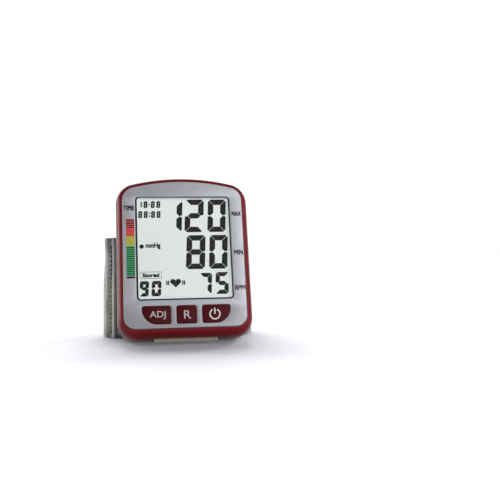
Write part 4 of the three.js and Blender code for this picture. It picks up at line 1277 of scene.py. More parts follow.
@dataclass
class Display:
    """The liquid crystal display, its marks and the plain legends round it, in face millimetres.

    Args:
        face: The face's frame.
        lcd_front: Height of the panel's front.
        film: Thickness of what the panel shows.
        ink: Thickness of a coat of print.
        slant: How far the digits lean, for each millimetre of height.
        narrow: Width of a one, in strokes.
        beats_at: Centre of the arcs beside the heart; heart_at is the heart's own.
        beat_half: Half the width of an arc's line.
        bead_outside: Width, height, corner radius and centre of the outside of the window's dark bead.
        bead_opening: The same for its opening.
        bead_depth: Heights of the bead's back and front.
        scale_sides: Left and right edges of the coloured scale.
    """

    face: FaceFrame
    lcd_front: float = -2.6
    film: float = 0.04
    ink: float = 0.02
    slant: float = 0.06
    narrow: float = 2.2
    heart_at: Point2 = (-4.75, -18.2)
    heart_size: Point2 = (5.5, 4.65)
    beats_at: Point2 = (-4.75, -17.85)
    beat_half: float = 0.33
    bead_outside: tuple[float, ...] = (48.64, 54.0, 1.85, -0.12, 0.0)
    bead_opening: tuple[float, ...] = (47.2, 53.005, 1.3, 0.05, 0.1)
    bead_depth: Point2 = (-0.3, 0.1)
    scale_sides: Point2 = (-29.2, -25.0)

    def segment_shapes(self, width: float, height: float, stroke: float) -> dict[str, list[Point2]]:
        """The seven segments of a digit in a box, with mitred and clipped corners.

        Args:
            width: Width of the box.
            height: Height of the box.
            stroke: Width of the segments.

        Returns:
            Segment letter to its convex outline, anticlockwise.
        """
        w, h, t = width, height, stroke
        c, m = 0.42 * stroke, height / 2
        upper = {
            "a": [(c / 2, h - c / 2), (t, h - t), (w - t, h - t), (w - c / 2, h - c / 2), (w - c, h), (c, h)],
            "b": [(w - c / 2, h - c / 2), (w - t, h - t), (w - t, m + t / 2), (w - t / 2, m), (w, m + t / 6),
                  (w, h - c)],
            "f": [(c / 2, h - c / 2), (0, h - c), (0, m + t / 6), (t / 2, m), (t, m + t / 2), (t, h - t)],
        }
        lower = {"d": "a", "c": "b", "e": "f"}
        flipped = {to: [(x, h - y) for x, y in reversed(upper[of])] for to, of in lower.items()}
        bar = [(t / 2, m), (t, m - t / 2), (w - t, m - t / 2), (w - t / 2, m), (w - t, m + t / 2),
               (t, m + t / 2)]
        return {**upper, **flipped, "g": bar}

    def digit(self, glyph: str, box: Box, stroke: float, gap: float) -> list[list[Point2]]:
        """The lit segments of a digit.

        Args:
            glyph: The digit.
            box: Left, right, lower and upper limits.
            stroke: Width of the segments.
            gap: Gap between segments.

        Returns:
            Their outlines.
        """
        left, right, low, high = box
        width, height = right - left, high - low
        if glyph == "1":
            width = max(width, self.narrow * stroke)
            left = right - width
        shapes = self.segment_shapes(width, height, stroke)
        lit = []
        for letter in SEGMENTS[glyph]:
            outline = inset(shapes[letter], gap / 2)
            lit.append([(x + left + self.slant * (y - height / 2), y + low) for x, y in outline])
        return lit

    def digits(self) -> list[list[Point2]]:
        """Outlines of all the digits."""
        big, mid, small, tiny = (3.05, 0.15), (2.3, 0.12), (1.8, 0.05), (0.82, 0.0)
        rows = [
            ("1", (-4.3, -0.3, 8.6, 25.9), big), ("2", (1.0, 10.9, 8.6, 26.4), big),
            ("0", (12.9, 22.5, 8.6, 26.4), big),
            ("8", (1.1, 11.0, -11.0, 7.1), big), ("0", (13.0, 22.6, -11.0, 7.1), big),
            ("7", (7.2, 13.7, -24.3, -13.0), mid), ("5", (15.5, 22.4, -24.2, -12.7), mid),
            ("9", (-22.9, -18.3, -24.6, -16.7), small), ("0", (-16.9, -12.1, -24.6, -16.7), small),
        ]
        slots = (-22.85, -20.03, -16.3, -13.48)
        for word, low in (("1888", 21.9), ("8888", 16.5)):
            rows += [(glyph, (left, left + 2.0, low, low + 3.6), tiny) for glyph, left in zip(word, slots)]
        return [shape for glyph, box, (stroke, gap) in rows for shape in self.digit(glyph, box, stroke, gap)]

    def heart(self, steps: int = 60) -> list[Point2]:
        """The heart's outline: the plain heart curve, 32 wide and 29 high, fitted to the heart's size.

        Args:
            steps: Number of points.

        Returns:
            The outline.
        """
        (u, v), (width, height) = self.heart_at, self.heart_size
        points = []
        for i in range(steps):
            t = 2 * math.pi * i / steps
            x = 16 * math.sin(t) ** 3
            y = 13 * math.cos(t) - 5 * math.cos(2 * t) - 2 * math.cos(3 * t) - math.cos(4 * t)
            points.append((u - x * width / 32, v + (y + 2.5) * height / 29))
        return points

    def beats(self) -> list[list[Point2]]:
        """The two pairs of arcs beside the heart."""
        shapes = []
        for middle in (180, 0):
            for radius, reach in ((3.6, 18), (4.5, 15)):
                outer, inner = (arc(*self.beats_at, radius + half, middle - reach, middle + reach, 10)
                                for half in (self.beat_half, -self.beat_half))
                shapes.append([*outer, *reversed(inner)])
        return shapes

    def lcd_marks(self) -> list[Piece]:
        """Builds everything that the display shows."""
        low, high = self.lcd_front, self.lcd_front + self.film
        dots = [arc(-17.15 + 0.08 * side, 18.2 + 0.8 * side, 0.4, 0, 330, 11) for side in (-1, 1)]
        dash = rounded_box(0.9, 0.6, 0.1, -17.2, 23.65)
        dot = arc(-21.5, 1.3, 1.15, 0, 345, 23)
        store_frame = [rounded_box(10.9, 3.5, 0.2, -17.15, -13.7), rounded_box(10.5, 3.1, 0.1, -17.15, -13.7)]
        signs = [*dots, dash, dot, *store_frame, *self.beats(), self.heart()]
        words = [("lcd_unit", "mmHg", (-19.5, -11.9, -0.2, 3.2), 0.14),
                 ("lcd_store", "Stored", (-21.4, -12.9, -14.8, -12.6), 0.15)]
        return [prisms("lcd_digits", self.face, self.digits(), low, high, SEGMENT_INK),
                plate("lcd_signs", self.face, signs, low, high, SEGMENT_INK),
                *(lettering(name, self.face, word, box, low, high, SEGMENT_INK, weight)
                  for name, word, box, weight in words)]

    def border(self) -> Piece:
        """Builds the dark bead that frames the window, over the gasket."""
        rings = [rounded_box(*self.bead_outside), rounded_box(*self.bead_opening)]
        return plate("display_border", self.face, rings, *self.bead_depth, GASKET_RUBBER, bevel=0.1)

    def legends(self) -> list[Piece]:
        """Builds the printed words beside the display."""
        rows = [("time_legend", "TIME", (-30.4, -24.9, 19.7, 22.3), 0.13),
                ("upper_legend", "MAX", (25.2, 30.1, 16.4, 18.9), 0.11),
                ("lower_legend", "MIN", (25.4, 30.1, -4.3, -1.8), 0.11),
                ("rate_legend", "BPM", (25.0, 30.4, -22.8, -20.3), 0.09)]
        return [lettering(name, self.face, text, box, PLATE_PROUD, PLATE_PROUD + self.ink, LEGEND_INK, weight)
                for name, text, box, weight in rows]

    def scale_bar(self) -> list[Piece]:
        """Builds the coloured scale of the readings, with its fine stripes."""
        left, right = self.scale_sides

        def bar(low: float, high: float) -> list[Point2]:
            """A field of the scale between two heights."""
            return [(left, low), (right, low), (right, high), (left, high)]

        def lines(low: float, high: float, count: int, thick: float) -> list[list[Point2]]:
            """Even stripes between two heights."""
            step = (high - low) / count
            return [bar(low + step * i, low + step * i + thick) for i in range(count)]

        rows = [("scale_deep_red", [bar(10.5, 15.2)], PALE_RED_INK, 1),
                ("scale_deep_red_lines", lines(10.5, 15.2, 5, 0.53), MAROON_INK, 2),
                ("scale_red", [bar(6.0, 10.5)], RED_INK, 1),
                ("scale_red_lines", lines(6.0, 10.5, 4, 0.2), DEEP_RED_INK, 2),
                ("scale_yellow", [bar(1.0, 6.0)], YELLOW_INK, 1),
                ("scale_yellow_lines", lines(1.6, 6.0, 4, 0.22), AMBER_INK, 2),
                ("scale_green", [bar(-14.4, 0.9)], GREEN_INK, 1),
                ("scale_green_lines", lines(-14.4, 0.9, 16, 0.55), DARK_GREEN_INK, 2),
                ("scale_foot", [bar(-15.75, -14.8)], LEGEND_INK, 1)]
        return [plate(name, self.face, shapes, PLATE_PROUD, PLATE_PROUD + self.ink * coats, ink)
                for name, shapes, ink, coats in rows]

    def build(self) -> list[Piece]:
        """Builds the display's marks and the print round it."""
        made = [self.border(), *self.lcd_marks(), *self.legends(), *self.scale_bar()]
        for piece in made:
            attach(piece, ROOT)
        return made


# Cuff


@dataclass
class CuffRing:
    """The cuff's elliptic ring, standing on the floor; offsets run outwards from the cover's outside.

    Args:
        centre: Middle of the ring on the floor, in metres.
        half_width: Half the cover's width in millimetres; half_depth and height are the other ways.
        left_end: Angle of the cover's left end, in degrees from the front; right_end is the other one.
        flare: How far the soft pieces stand out at the floor.
        taper: How much less they stand out at the top.
    """

    centre: Vector
    half_width: float = 38.0
    half_depth: float = 25.0
    height: float = 54.6
    left_end: float = -95.0
    right_end: float = 165.0
    flare: float = 0.75
    taper: float = 1.6

    def lean(self, z: float) -> float:
        """How far the soft pieces stand out at a height, as they follow the wrist's taper."""
        return self.flare - self.taper * z / self.height

    def point(self, degrees: float, offset: float, z: float) -> Vector:
        """A point of the ring.

        Args:
            degrees: Angle from the front.
            offset: Millimetres outwards from the cover's outside.
            z: Height in millimetres.

        Returns:
            The point, in metres.
        """
        angle = math.radians(degrees)
        x, y = self.half_width * math.sin(angle), -self.half_depth * math.cos(angle)
        normal = Vector((x / self.half_width ** 2, y / self.half_depth ** 2)).normalized()
        offset += self.lean(z)
        return self.centre + MM * Vector((x + normal.x * offset, y + normal.y * offset, z))

    def arc_length(self, start: float, end: float, offset: float, steps: int = 200) -> float:
        """Length in metres of the ring between two angles."""
        line = [self.point(start + (end - start) * i / steps, offset, 0) for i in range(steps + 1)]
        return sum((b - a).length for a, b in zip(line, line[1:]))

    def sweep(self, name: str, angles: Sequence[float], section: Callable[[float], list[Point2]],
              finish: Finish, skew: Callable[[float, float], float] = lambda _angle, _z: 0.0,
              sharp_deg: float = 60.0) -> Piece:
        """Sweeps a section round the ring and caps both ends.

        Args:
            name: The piece's name.
            angles: Stations in degrees.
            section: Angle to a closed section of offsets and heights, always with as many points.
            finish: Its surface.
            skew: Angle and height to the degrees by which the point is pulled round the ring.
            sharp_deg: Edges sharper than this stay hard.

        Returns:
            The object.
        """
        sections = [section(angle) for angle in angles]
        points = [self.point(angle + skew(angle, z), offset, z)
                  for angle, ring in zip(angles, sections) for offset, z in ring]
        return mesh_piece(name, points, loop_faces(len(angles), len(sections[0]), False), finish, sharp_deg)


def soft_section(inner: float, outer: float, low: float, high: float, edge: float,
                 rows: int = 36) -> list[Point2]:
    """A band's section with round edges and many rows up its sides.

    Args:
        inner: Offset of its inside.
        outer: Offset of its outside.
        low: Height of its lower edge.
        high: Height of its upper edge.
        edge: Radius of its edges, at most half of what the band has room for.
        rows: Rows up each side.

    Returns:
        The section, as offsets and heights.
    """
    turn = 6
    edge = min(edge, 0.499 * (outer - inner), 0.499 * (high - low))
    return [*arc(outer - edge, low + edge, edge, -90, 0, turn),
            *[(outer, low + edge + (high - low - 2 * edge) * i / rows) for i in range(1, rows)],
            *arc(outer - edge, high - edge, edge, 0, 90, turn),
            *arc(inner + edge, high - edge, edge, 90, 180, turn),
            *[(inner, high - edge - (high - low - 2 * edge) * i / rows) for i in range(1, rows)],
            *arc(inner + edge, low + edge, edge, 180, 270, turn)]


def spread_angles(start: float, end: float, count: int, ends: Sequence[float] = ()) -> list[float]:
    """Even stations between two angles, with finer ones at both ends.

    Args:
        start: First angle.
        end: Last angle.
        count: Number of even stations.
        ends: Degrees from each end at which a finer station stands.

    Returns:
        The angles in order.
    """
    sign = 1 if end > start else -1
    even = [start + (end - start) * i / count for i in range(count + 1)]
    fine = [start + sign * d for d in ends] + [end - sign * d for d in ends]
    reach = max(ends, default=0.0)
    inside = [a for a in even if min(abs(a - start), abs(a - end)) > reach or a in (start, end)]
    return sorted({*inside, *fine}, reverse=sign < 0)


@dataclass
class Cuff:
    """The padded cuff: cover, padded lining with its bladder, and the bound edges, in millimetres.

    Args:
        ring: The ring that it follows.
        cloth_low: Height of the cloth's lower edge; cloth_high is its upper one.
        pad_outer: Offset of the pad's outside, which lies on the former.
        pad_edge: How deep the pad is at its edges; pad_crown is the same in its middle.
        pad_sink: How far the pad stays clear of the cloth's edges.
        piping: Height of a bound edge.
        ripple: Depth of the cover's ripples.
        ripple_pitch: Ripples for each degree round the ring and each millimetre up it.
        end_round: Degrees from an end at which its rounding has a station.
    """

    ring: CuffRing
    cloth_low: float = 1.6
    cloth_high: float = 53.0
    cover_thick: float = 1.4
    pad_outer: float = -3.1
    pad_edge: float = 5.4
    pad_crown: float = 7.0
    pad_sink: float = 0.4
    piping: float = 1.3
    ripple: float = 0.16
    ripple_pitch: Point2 = (0.11, 0.12)
    end_round: tuple[float, ...] = (0.15, 0.5, 1.0, 1.6)

    def end_share(self, angle: float) -> float:
        """How full a band's section is near its hemmed ends.

        Args:
            angle: Place on the ring.

        Returns:
            A share from 0 to 1.
        """
        reach = min(angle - self.ring.left_end, self.ring.right_end - angle)
        share = min(max(reach / self.end_round[-1], 0.0), 1.0)
        return math.sqrt(max(1 - (1 - share) ** 2, 0.02))

    def cover(self) -> Piece:
        """Builds the charcoal outside, which clings to the stiff former and ripples a little."""
        around, upwards = self.ripple_pitch

        def section(angle: float) -> list[Point2]:
            """The cover's section.

            Args:
                angle: Place on the ring.

            Returns:
                The section, as offsets and heights.
            """
            full = self.end_share(angle)
            middle, half = -self.cover_thick / 2, self.cover_thick / 2 * full
            ring = soft_section(middle - half, middle + half, self.cloth_low, self.cloth_high, 0.6)
            return [(o + self.ripple * noise.noise(Vector((angle * around, z * upwards, 3.7))) * full
                     - self.ripple, z) for o, z in ring]

        angles = spread_angles(self.ring.left_end, self.ring.right_end, 150, self.end_round)
        made = self.ring.sweep("cuff_cover_cloth", angles, section, COVER_CLOTH)
        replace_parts(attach(made, ROOT), "cuff_cover")
        width = self.ring.arc_length(self.ring.left_end, self.ring.right_end, 0)
        return made

    def pad_section(self, angle: float) -> list[Point2]:
        """The pad's section before it is blown up: flat outside, crowned inside.

        Args:
            angle: Place on the ring, in degrees.

        Returns:
            The section, as offsets and heights.
        """
        full = self.end_share(angle)
        rows = 30
        low, high = self.cloth_low + self.pad_sink, self.cloth_high - self.pad_sink
        inner = []
        for i in range(rows + 1):
            share = i / rows
            swell = self.pad_edge + (self.pad_crown - self.pad_edge) * math.sin(math.pi * share) ** 0.45
            inner.append((self.pad_outer + (-swell - self.pad_outer) * full, high - (high - low) * share))
        outer = [(self.pad_outer, low + (high - low) * i / rows) for i in range(rows + 1)]
        return [*outer, *inner]

    def pad(self) -> Piece:
        """Builds the lining over its bladder and blows it up as cloth."""
        angles = spread_angles(self.ring.left_end + self.pad_sink, self.ring.right_end - self.pad_sink, 120,
                               self.end_round)
        made = self.ring.sweep("cuff_pad_lining", angles, self.pad_section, LINING_CLOTH)
        made = self.blown(made)
        self.seam(made)
        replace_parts(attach(made, ROOT), "cuff_lining", "cuff_bladder")
        return made

    def blown(self, source: Piece, voxel_mm: float = 1.1, cap_mm: float = 0.8,
              pressure: float = 3.0, steps: int = 16) -> Piece:
        """Blows the pad up with Blender's cloth, holding the side that lies on the former.

        Args:
            source: The pad as drawn; it is removed.
            voxel_mm: Size of the cloth's mesh.
            cap_mm: The furthest that a point may move.
            pressure: Air pressure in the cloth's own units.
            steps: Steps of the simulation.

        Returns:
            The blown pad.
        """
        mesher = source.modifiers.new("mesher", "REMESH")
        mesher.mode = "VOXEL"
        mesher.voxel_size = voxel_mm * MM
        mesh = baked(source)
        work = bpy.data.objects.new("cuff_pad_work", mesh)
        bpy.context.scene.collection.objects.link(work)
        rest = [v.co.copy() for v in mesh.vertices]
        held = work.vertex_groups.new(name="held")
        for index, point in enumerate(rest):
            if self.offset_of(point) > self.pad_outer - 0.8:
                held.add([index], 1.0, "REPLACE")
        cloth = work.modifiers.new("cloth", "CLOTH")
        cloth.settings.use_pressure = True
        cloth.settings.uniform_pressure_force = pressure
        cloth.settings.effector_weights.gravity = 0.0
        cloth.settings.vertex_group_mass = "held"
        cloth.settings.quality = 5
        cloth.point_cache.frame_start = 1
        cloth.point_cache.frame_end = steps
        scene = bpy.context.scene
        for step in range(1, steps + 1):
            scene.frame_set(step)
        view = bpy.context.evaluated_depsgraph_get()
        moved = [v.co.copy() for v in work.evaluated_get(view).data.vertices]
        scene.frame_set(1)
        for vertex, start, end in zip(mesh.vertices, rest, moved):
            step_out = end - start
            if step_out.length > cap_mm * MM:
                step_out = step_out.normalized() * cap_mm * MM
            vertex.co = start + step_out
        work.modifiers.clear()
        smoother = work.modifiers.new("smoother", "SUBSURF")
        smoother.levels = 1
        smoother.render_levels = 1
        return dressed("cuff_pad_lining", baked(work), LINING_CLOTH, 80)

    def offset_of(self, point: Vector) -> float:
        """Roughly how far outside the cover's outer face a point lies.

        Args:
            point: The point, in metres.

        Returns:
            The distance in millimetres.
        """
        x, y = (point.x - self.ring.centre.x) / MM, (point.y - self.ring.centre.y) / MM
        a, b = self.ring.half_width, self.ring.half_depth
        level = math.hypot(x / a, y / b)
        slope = math.hypot(x / a ** 2, y / b ** 2) / max(level, 1e-6)
        return (level - 1) / max(slope, 1e-6)

    def seam(self, made: Piece, from_edge: float = 4.6, half: float = 1.1,
             depth: float = 0.7) -> None:
        """Presses the welded line of the bladder into the lining, along both of its edges.

        Args:
            made: The pad.
            from_edge: Height of the line from the cloth's edge.
            half: Half the line's width.
            depth: Depth of the line.
        """
        for vertex in made.data.vertices:
            z = vertex.co.z / MM
            near = min(abs(z - self.cloth_low - from_edge), abs(self.cloth_high - from_edge - z))
            if near < half and self.offset_of(vertex.co) < self.pad_outer - 1.0:
                press = depth * MM * (0.5 + 0.5 * math.cos(math.pi * near / half))
                away = Vector((vertex.co.x - self.ring.centre.x, vertex.co.y - self.ring.centre.y, 0))
                vertex.co += away.normalized() * press

    def binding(self, name: str, node: str, low: float) -> Piece:
        """Builds one bound edge of the cuff.

        Args:
            name: The piece's name.
            node: The CAD node that it stands for.
            low: Height of its underside.

        Returns:
            The object.
        """
        high = low + self.piping

        def section(angle: float) -> list[Point2]:
            """The edge's section.

            Args:
                angle: Place on the ring.

            Returns:
                The section, as offsets and heights.
            """
            full = self.end_share(angle)
            inner, outer = -self.pad_edge - 0.1, 0.0
            middle, half = (inner + outer) / 2, (outer - inner) / 2 * (0.9 + 0.1 * full)
            return soft_section(middle - half, middle + half, low, high, 0.55, rows=6)

        angles = spread_angles(self.ring.left_end, self.ring.right_end, 130, self.end_round)
        made = self.ring.sweep(name, angles, section, BINDING_TAPE)
        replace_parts(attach(made, ROOT), node)
        return made

    def build(self) -> list[Piece]:
        """Builds the cuff's soft pieces."""
        return [self.cover(), self.pad(),
                self.binding("cuff_binding_top", "piping_top", self.ring.height - self.piping),
                self.binding("cuff_binding_bottom", "piping_bottom", 0.0)]


@dataclass
class Strap:
    """The light grey closing strap, sewn to the cuff on the right and lapped over its left end.

    Its places round the ring are in degrees from the front, its other sizes in millimetres.

    Args:
        ring: The ring that it follows.
        start: Where it is sewn on; hinge is where it bends, and end is its free end.
        inner: Offset of its underside.
        inset: How far its edges stay clear of the cuff's.
        lift: How far the hook tape lifts it; lift_end is where it is fully lifted.
        seam: Where its hem is sewn; seam_reach is how far the seam draws the cloth down.
        hem_low: Offset of the hem at its ends; hem_puff is how much higher its middle is.
        tape_end: Where the hook tape stops lifting it.
        tape_fall: How far it takes to lie down after that.
        bend_half: Half the part that bends.
        skew: How far its free end, closed a little askew, is pulled round from its top to its bottom.
        skew_level: Share of the height that the pull leaves in place.
        swell: Height of its soft swells.
        pucker: How far a stitch draws the cloth in.
        dent: Depth of the worn dent round it; dent_height and dent_reach are its place and width.
        stitch_pitch: Height from one stitch to the next.
        stitch_margin: Bare height at each end of the row of stitches.
        fold: Stations of the folded edge, painted pale as a highlight, from the free end.
        hook_arc: Where the hook tape starts and ends.
        hook_band: Its inner and outer offset and its lower and upper edge.
        end_round: Degrees from an end at which a finer station stands.
    """

    ring: CuffRing
    start: float = 65.0
    hinge: float = 171.4
    end: float = 293.9
    inner: float = 0.3
    thick: float = 2.4
    inset: float = 0.1
    lift: float = 0.75
    lift_end: float = 260.0
    seam: float = 289.3
    seam_reach: float = 5.0
    hem_low: float = 1.55
    hem_puff: float = 0.3
    tape_end: float = 289.8
    tape_fall: float = 2.0
    bend_half: float = 4.0
    skew: float = 2.3
    skew_level: float = 0.6
    skew_arc: Point2 = (262.0, 284.0)
    swell: float = 0.35
    pucker: float = 0.12
    dent: float = 0.42
    dent_height: float = 43.0
    dent_reach: float = 7.5
    stitch_pitch: float = 2.42
    stitch_margin: float = 2.2
    fold: tuple[float, ...] = (-1.1, -0.8, -0.15, 0.1)
    hook_arc: Point2 = (268.0, 289.5)
    hook_band: Box = (0.15, 0.95, 5.6, 49.0)
    end_round: tuple[float, ...] = (0.2, 0.6, 1.1, 1.8, 2.6, 3.4, 4.2, 5.0, 6.0, 7.0, 8.0, 9.0, 10.0)

    def slanted(self, angle: float, z: float) -> float:
        """Degrees by which a place on the strap is pulled round, as its free end is closed askew."""
        return self.skew * (self.skew_level - z / self.ring.height) * ease(angle, *self.skew_arc)

    def inner_at(self, angle: float) -> float:
        """Offset of the strap's underside, which rides over the hook tape and then lies down."""
        lifted = self.inner + self.lift * ease(angle, self.hinge, self.lift_end)
        return lifted - self.lift * ease(angle, self.tape_end, self.tape_end + self.tape_fall)

    def drawn(self, angle: float) -> float:
        """How far the seam has drawn the cloth down, from 0 to 1."""
        return ease(angle, self.seam - self.seam_reach, self.seam)

    def outer_at(self, angle: float) -> float:
        """Offset of the strap's outside: puffed, drawn down at the seam, with a low hem beyond it.

        Args:
            angle: Place on the ring.

        Returns:
            The offset.
        """
        body = self.inner_at(min(angle, self.tape_end)) + self.thick
        along = min(max((angle - self.seam) / (self.end - self.seam), 0.0), 1.0)
        hem = self.hem_low + self.hem_puff * math.sin(math.pi * along)
        return body + (hem - body) * self.drawn(angle)

    def section(self, angle: float) -> list[Point2]:
        """The strap's section: rolled edges, soft swells, and a pucker at every stitch.

        Args:
            angle: Place on the ring.

        Returns:
            The section, as offsets and heights.
        """
        low, high = self.inset, self.ring.height - self.inset
        base, outer = self.inner_at(angle), self.outer_at(angle)
        start_share = ease(angle, self.start - 1.0, self.start + 2.0)
        outer = base + (outer - base) * (0.5 + 0.5 * start_share)
        near_seam = math.exp(-((angle - self.seam) / 1.2) ** 2)
        shaped = []
        for offset, z in soft_section(base, outer, low, high, 1.15, rows=44):
            outward = (offset - base) / (outer - base)
            swell = self.swell * noise.noise(Vector((angle * 0.05, z * 0.07, 1.3))) - 0.15
            swell *= 1 - self.drawn(angle)
            pucker = -self.pucker * near_seam * math.cos(2 * math.pi * z / self.stitch_pitch)
            dent = -self.dent * math.exp(-((z - self.dent_height) / self.dent_reach) ** 2)
            shaped.append((offset + outward * (swell + pucker + dent), z))
        return shaped

    def press_and_shade_at(self, angle: float, z: float) -> float:
        """How dark the pile is painted at a place: painted shade in the valley along the seam, at the top
        edge and near the floor, with pressed pile on the hem and in handled patches.

        Args:
            angle: Place on the ring, before the strap is pulled askew.
            z: Height of the place.

        Returns:
            How dark it is painted, from 0 to 1.
        """
        patch = noise.noise(Vector((angle * 0.16, z * 0.11, 8.1)))
        # painted shade in the seam's valley, on the rolled top and near the floor; pressed pile on the hem;
        # patches of handling
        seam_valley_shade = math.exp(-((angle - self.seam + 1.7) / 1.9) ** 2) * (0.55 + 0.5 * patch)
        top = 0.75 * ease(z, self.ring.height - 10.0, self.ring.height - 3.0)
        foot = 0.3 * (1 - ease(z, 1.0, 7.0))
        hem = ease(angle, self.seam - 0.4, self.seam + 0.8)
        hem *= (1 - ease(angle, self.end - 1.9, self.end - 1.2)) * (1 - 0.5 * ease(z, 30.0, 46.0))
        return min(max(seam_valley_shade + max(top, foot) + hem + 0.5 * patch, 0.0), 1.0)

    def paint_press_and_shade(self, made: Piece) -> None:
        """Marks where the pile of a piece of the strap is pressed flat, and where painted shade darkens it.

        Args:
            made: The piece.
        """
        layer = made.data.attributes.new(PILE_PRESS_AND_SHADE, "FLOAT", "POINT")
        for vertex, value in zip(made.data.vertices, layer.data):
            place = (vertex.co - self.ring.centre) / MM
            x, y = place.x / self.ring.half_width, place.y / self.ring.half_depth
            angle = math.degrees(math.atan2(x, -y)) % 360
            value.value = self.press_and_shade_at(angle - self.slanted(angle, place.z), place.z)

    def band(self) -> Piece:
        """Builds the strap as one band that bends at the back of the wrist."""
        angles = spread_angles(self.start, self.end, 190, self.end_round)
        made = self.ring.sweep("closing_strap_cloth", angles, self.section, STRAP_CLOTH, self.slanted)
        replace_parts(made, "strap_anchor", "closing_strap")
        long = self.ring.arc_length(self.start, self.end, self.inner + self.thick / 2)
        self.paint_press_and_shade(made)
        self.bend(made)
        return made

    def bend(self, made: Piece) -> None:
        """Bakes a piece of the strap's place into its mesh; the ends of the bend are found, but nothing
        bends.

        Args:
            made: The piece.
        """
        start, end = (self.ring.point(self.hinge + half, 2.0, self.ring.height / 2)
                      for half in (-self.bend_half, self.bend_half))
        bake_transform(made)
        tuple(start)
        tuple(end)

    def stitch_line(self, name: str, places: Sequence[Point2], finish: Finish,
                    length: float = 2.1, radius: float = 0.5, slant: float = 2.4) -> Piece:
        """Builds a row of stitches up the strap.

        Args:
            name: The piece's name.
            places: Angle and height of each stitch's middle.
            finish: The thread.
            length: Length of a stitch.
            radius: Radius of the thread.
            slant: Degrees that a stitch leans round the ring.

        Returns:
            The object.
        """
        points: list[Vector] = []
        faces: Faces = []
        half = [(0.5, 0.3, -0.15), (0.36, 0.85, 0.02), (0.12, 1.0, 0.1)]
        stations = [*((-along, share, rise) for along, share, rise in half), *reversed(half)]
        sides = 8
        for angle, height in places:
            base = len(points)
            outer = self.outer_at(angle) - 0.05
            for along, share, rise in stations:
                z = height + along * length
                for side in range(sides):
                    turn = 2 * math.pi * side / sides
                    across = radius * share * math.cos(turn)
                    shift = math.degrees(across / self.ring.half_depth) + slant * along
                    out = outer + rise + radius * share * math.sin(turn)
                    points.append(self.ring.point(angle + shift + self.slanted(angle, z), out, z))
            faces += [tuple(base + i for i in face) for face in loop_faces(len(stations), sides, False)]
        return mesh_piece(name, points, faces, finish, 70)

    def stitches(self) -> Piece:
        """Sews the hem at the strap's free end, in a line that wanders a little."""
        pitch, low, high = self.stitch_pitch, self.stitch_margin, self.ring.height - self.stitch_margin
        count = int((high - low) / pitch)
        heights = [low + pitch * (i + 0.5) for i in range(count)]
        places = [(self.seam + 0.7 * noise.noise(Vector((z * 0.13, 2.2, 5.0))), z) for z in heights]
        line = self.stitch_line("strap_hem_stitches", places, STRAP_THREAD)
        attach(line, STRAP_BODY)
        return line

    def cut_edge(self) -> Piece:
        """Builds the folded edge at the strap's free end, in a paler cloth as a painted highlight along the
        fold.
        """
        low, high = self.inset + 0.3, self.ring.height - self.inset - 0.3

        def section(_angle: float) -> list[Point2]:
            """The fold's section, the same all along."""
            return soft_section(self.inner + 0.1, self.hem_low + 0.22, low, high, 0.4, rows=40)

        angles = [self.end + d for d in self.fold]
        made = self.ring.sweep("strap_end_fold", angles, section, STRAP_FOLD_HIGHLIGHT, self.slanted)
        self.paint_press_and_shade(made)
        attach(made, STRAP_BODY)
        return made

    def hooks(self) -> Piece:
        """Builds the hook tape under the strap's end."""
        def section(_angle: float) -> list[Point2]:
            """The tape's section, the same all along."""
            return soft_section(*self.hook_band, 0.2, rows=12)

        angles = spread_angles(*self.hook_arc, 24)
        made = self.ring.sweep("hook_tape_nylon", angles, section, HOOK_NYLON, self.slanted)
        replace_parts(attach(made, STRAP_BODY), "hook_tape")
        return made

    def build(self) -> list[Piece]:
        """Builds the strap with its stitches and hooks."""
        return [self.band(), self.stitches(), self.cut_edge(), self.hooks()]


# Carried-over pieces


@dataclass
class Insides:
    """CAD pieces whose shapes are kept, each with the finish of the real one.

    Args:
        finishes: CAD node to its finish; the others are black mouldings of the switches, or plated steel.
    """

    finishes: dict[str, Finish] = field(default_factory=lambda: {
        "display_gasket": SILICONE, "display_lens": WINDOW_ACRYLIC, "lcd_panel": LCD_FILM,
        "backlight": WHITE_ABS, "lcd_connector": SILICONE, "main_board": SOLDER_MASK,
        "battery_cell_lower": CELL_SLEEVE, "battery_cell_upper": CELL_SLEEVE,
        "pump_head": BLACK_ABS, "valve_body": BLACK_ABS, "pressure_sensor": BLACK_ABS,
        "air_manifold": WHITE_ABS, "air_nozzle": WHITE_ABS, "cuff_former": WHITE_ABS,
        "pump_hose": SILICONE, "valve_hose": SILICONE,
    })

    def dress(self) -> list[Piece]:
        """Gives every CAD node that still shows its finish."""
        shown = [node for node in frame["nodes"].values() if not node.hide_render]
        for node in shown:
            name = node["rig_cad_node"]
            plain = BLACK_ABS if name.startswith("switch_") else NICKEL_STEEL
            node.data.materials.clear()
            node.data.materials.append(self.finishes.get(name, plain).build())
        return shown


# Studio


@dataclass(frozen=True)
class SoftBox:
    """A soft box.

    Args:
        name: The lamp's name.
        place: Where it hangs, in metres.
        aim: What it points at.
        size: Width and height in metres.
        power: Watts.
    """

    name: str
    place: Place
    aim: Place
    size: Point2
    power: float

    def hang(self) -> Piece:
        """Hangs the lamp."""
        light = bpy.data.lights.new(self.name, "AREA")
        light.shape = "RECTANGLE"
        light.size, light.size_y = self.size
        light.energy = self.power
        made = bpy.data.objects.new(self.name, light)
        made.location = self.place
        made.rotation_euler = (Vector(self.aim) - Vector(self.place)).to_track_quat("-Z", "Y").to_euler()
        bpy.context.scene.collection.objects.link(made)
        return made


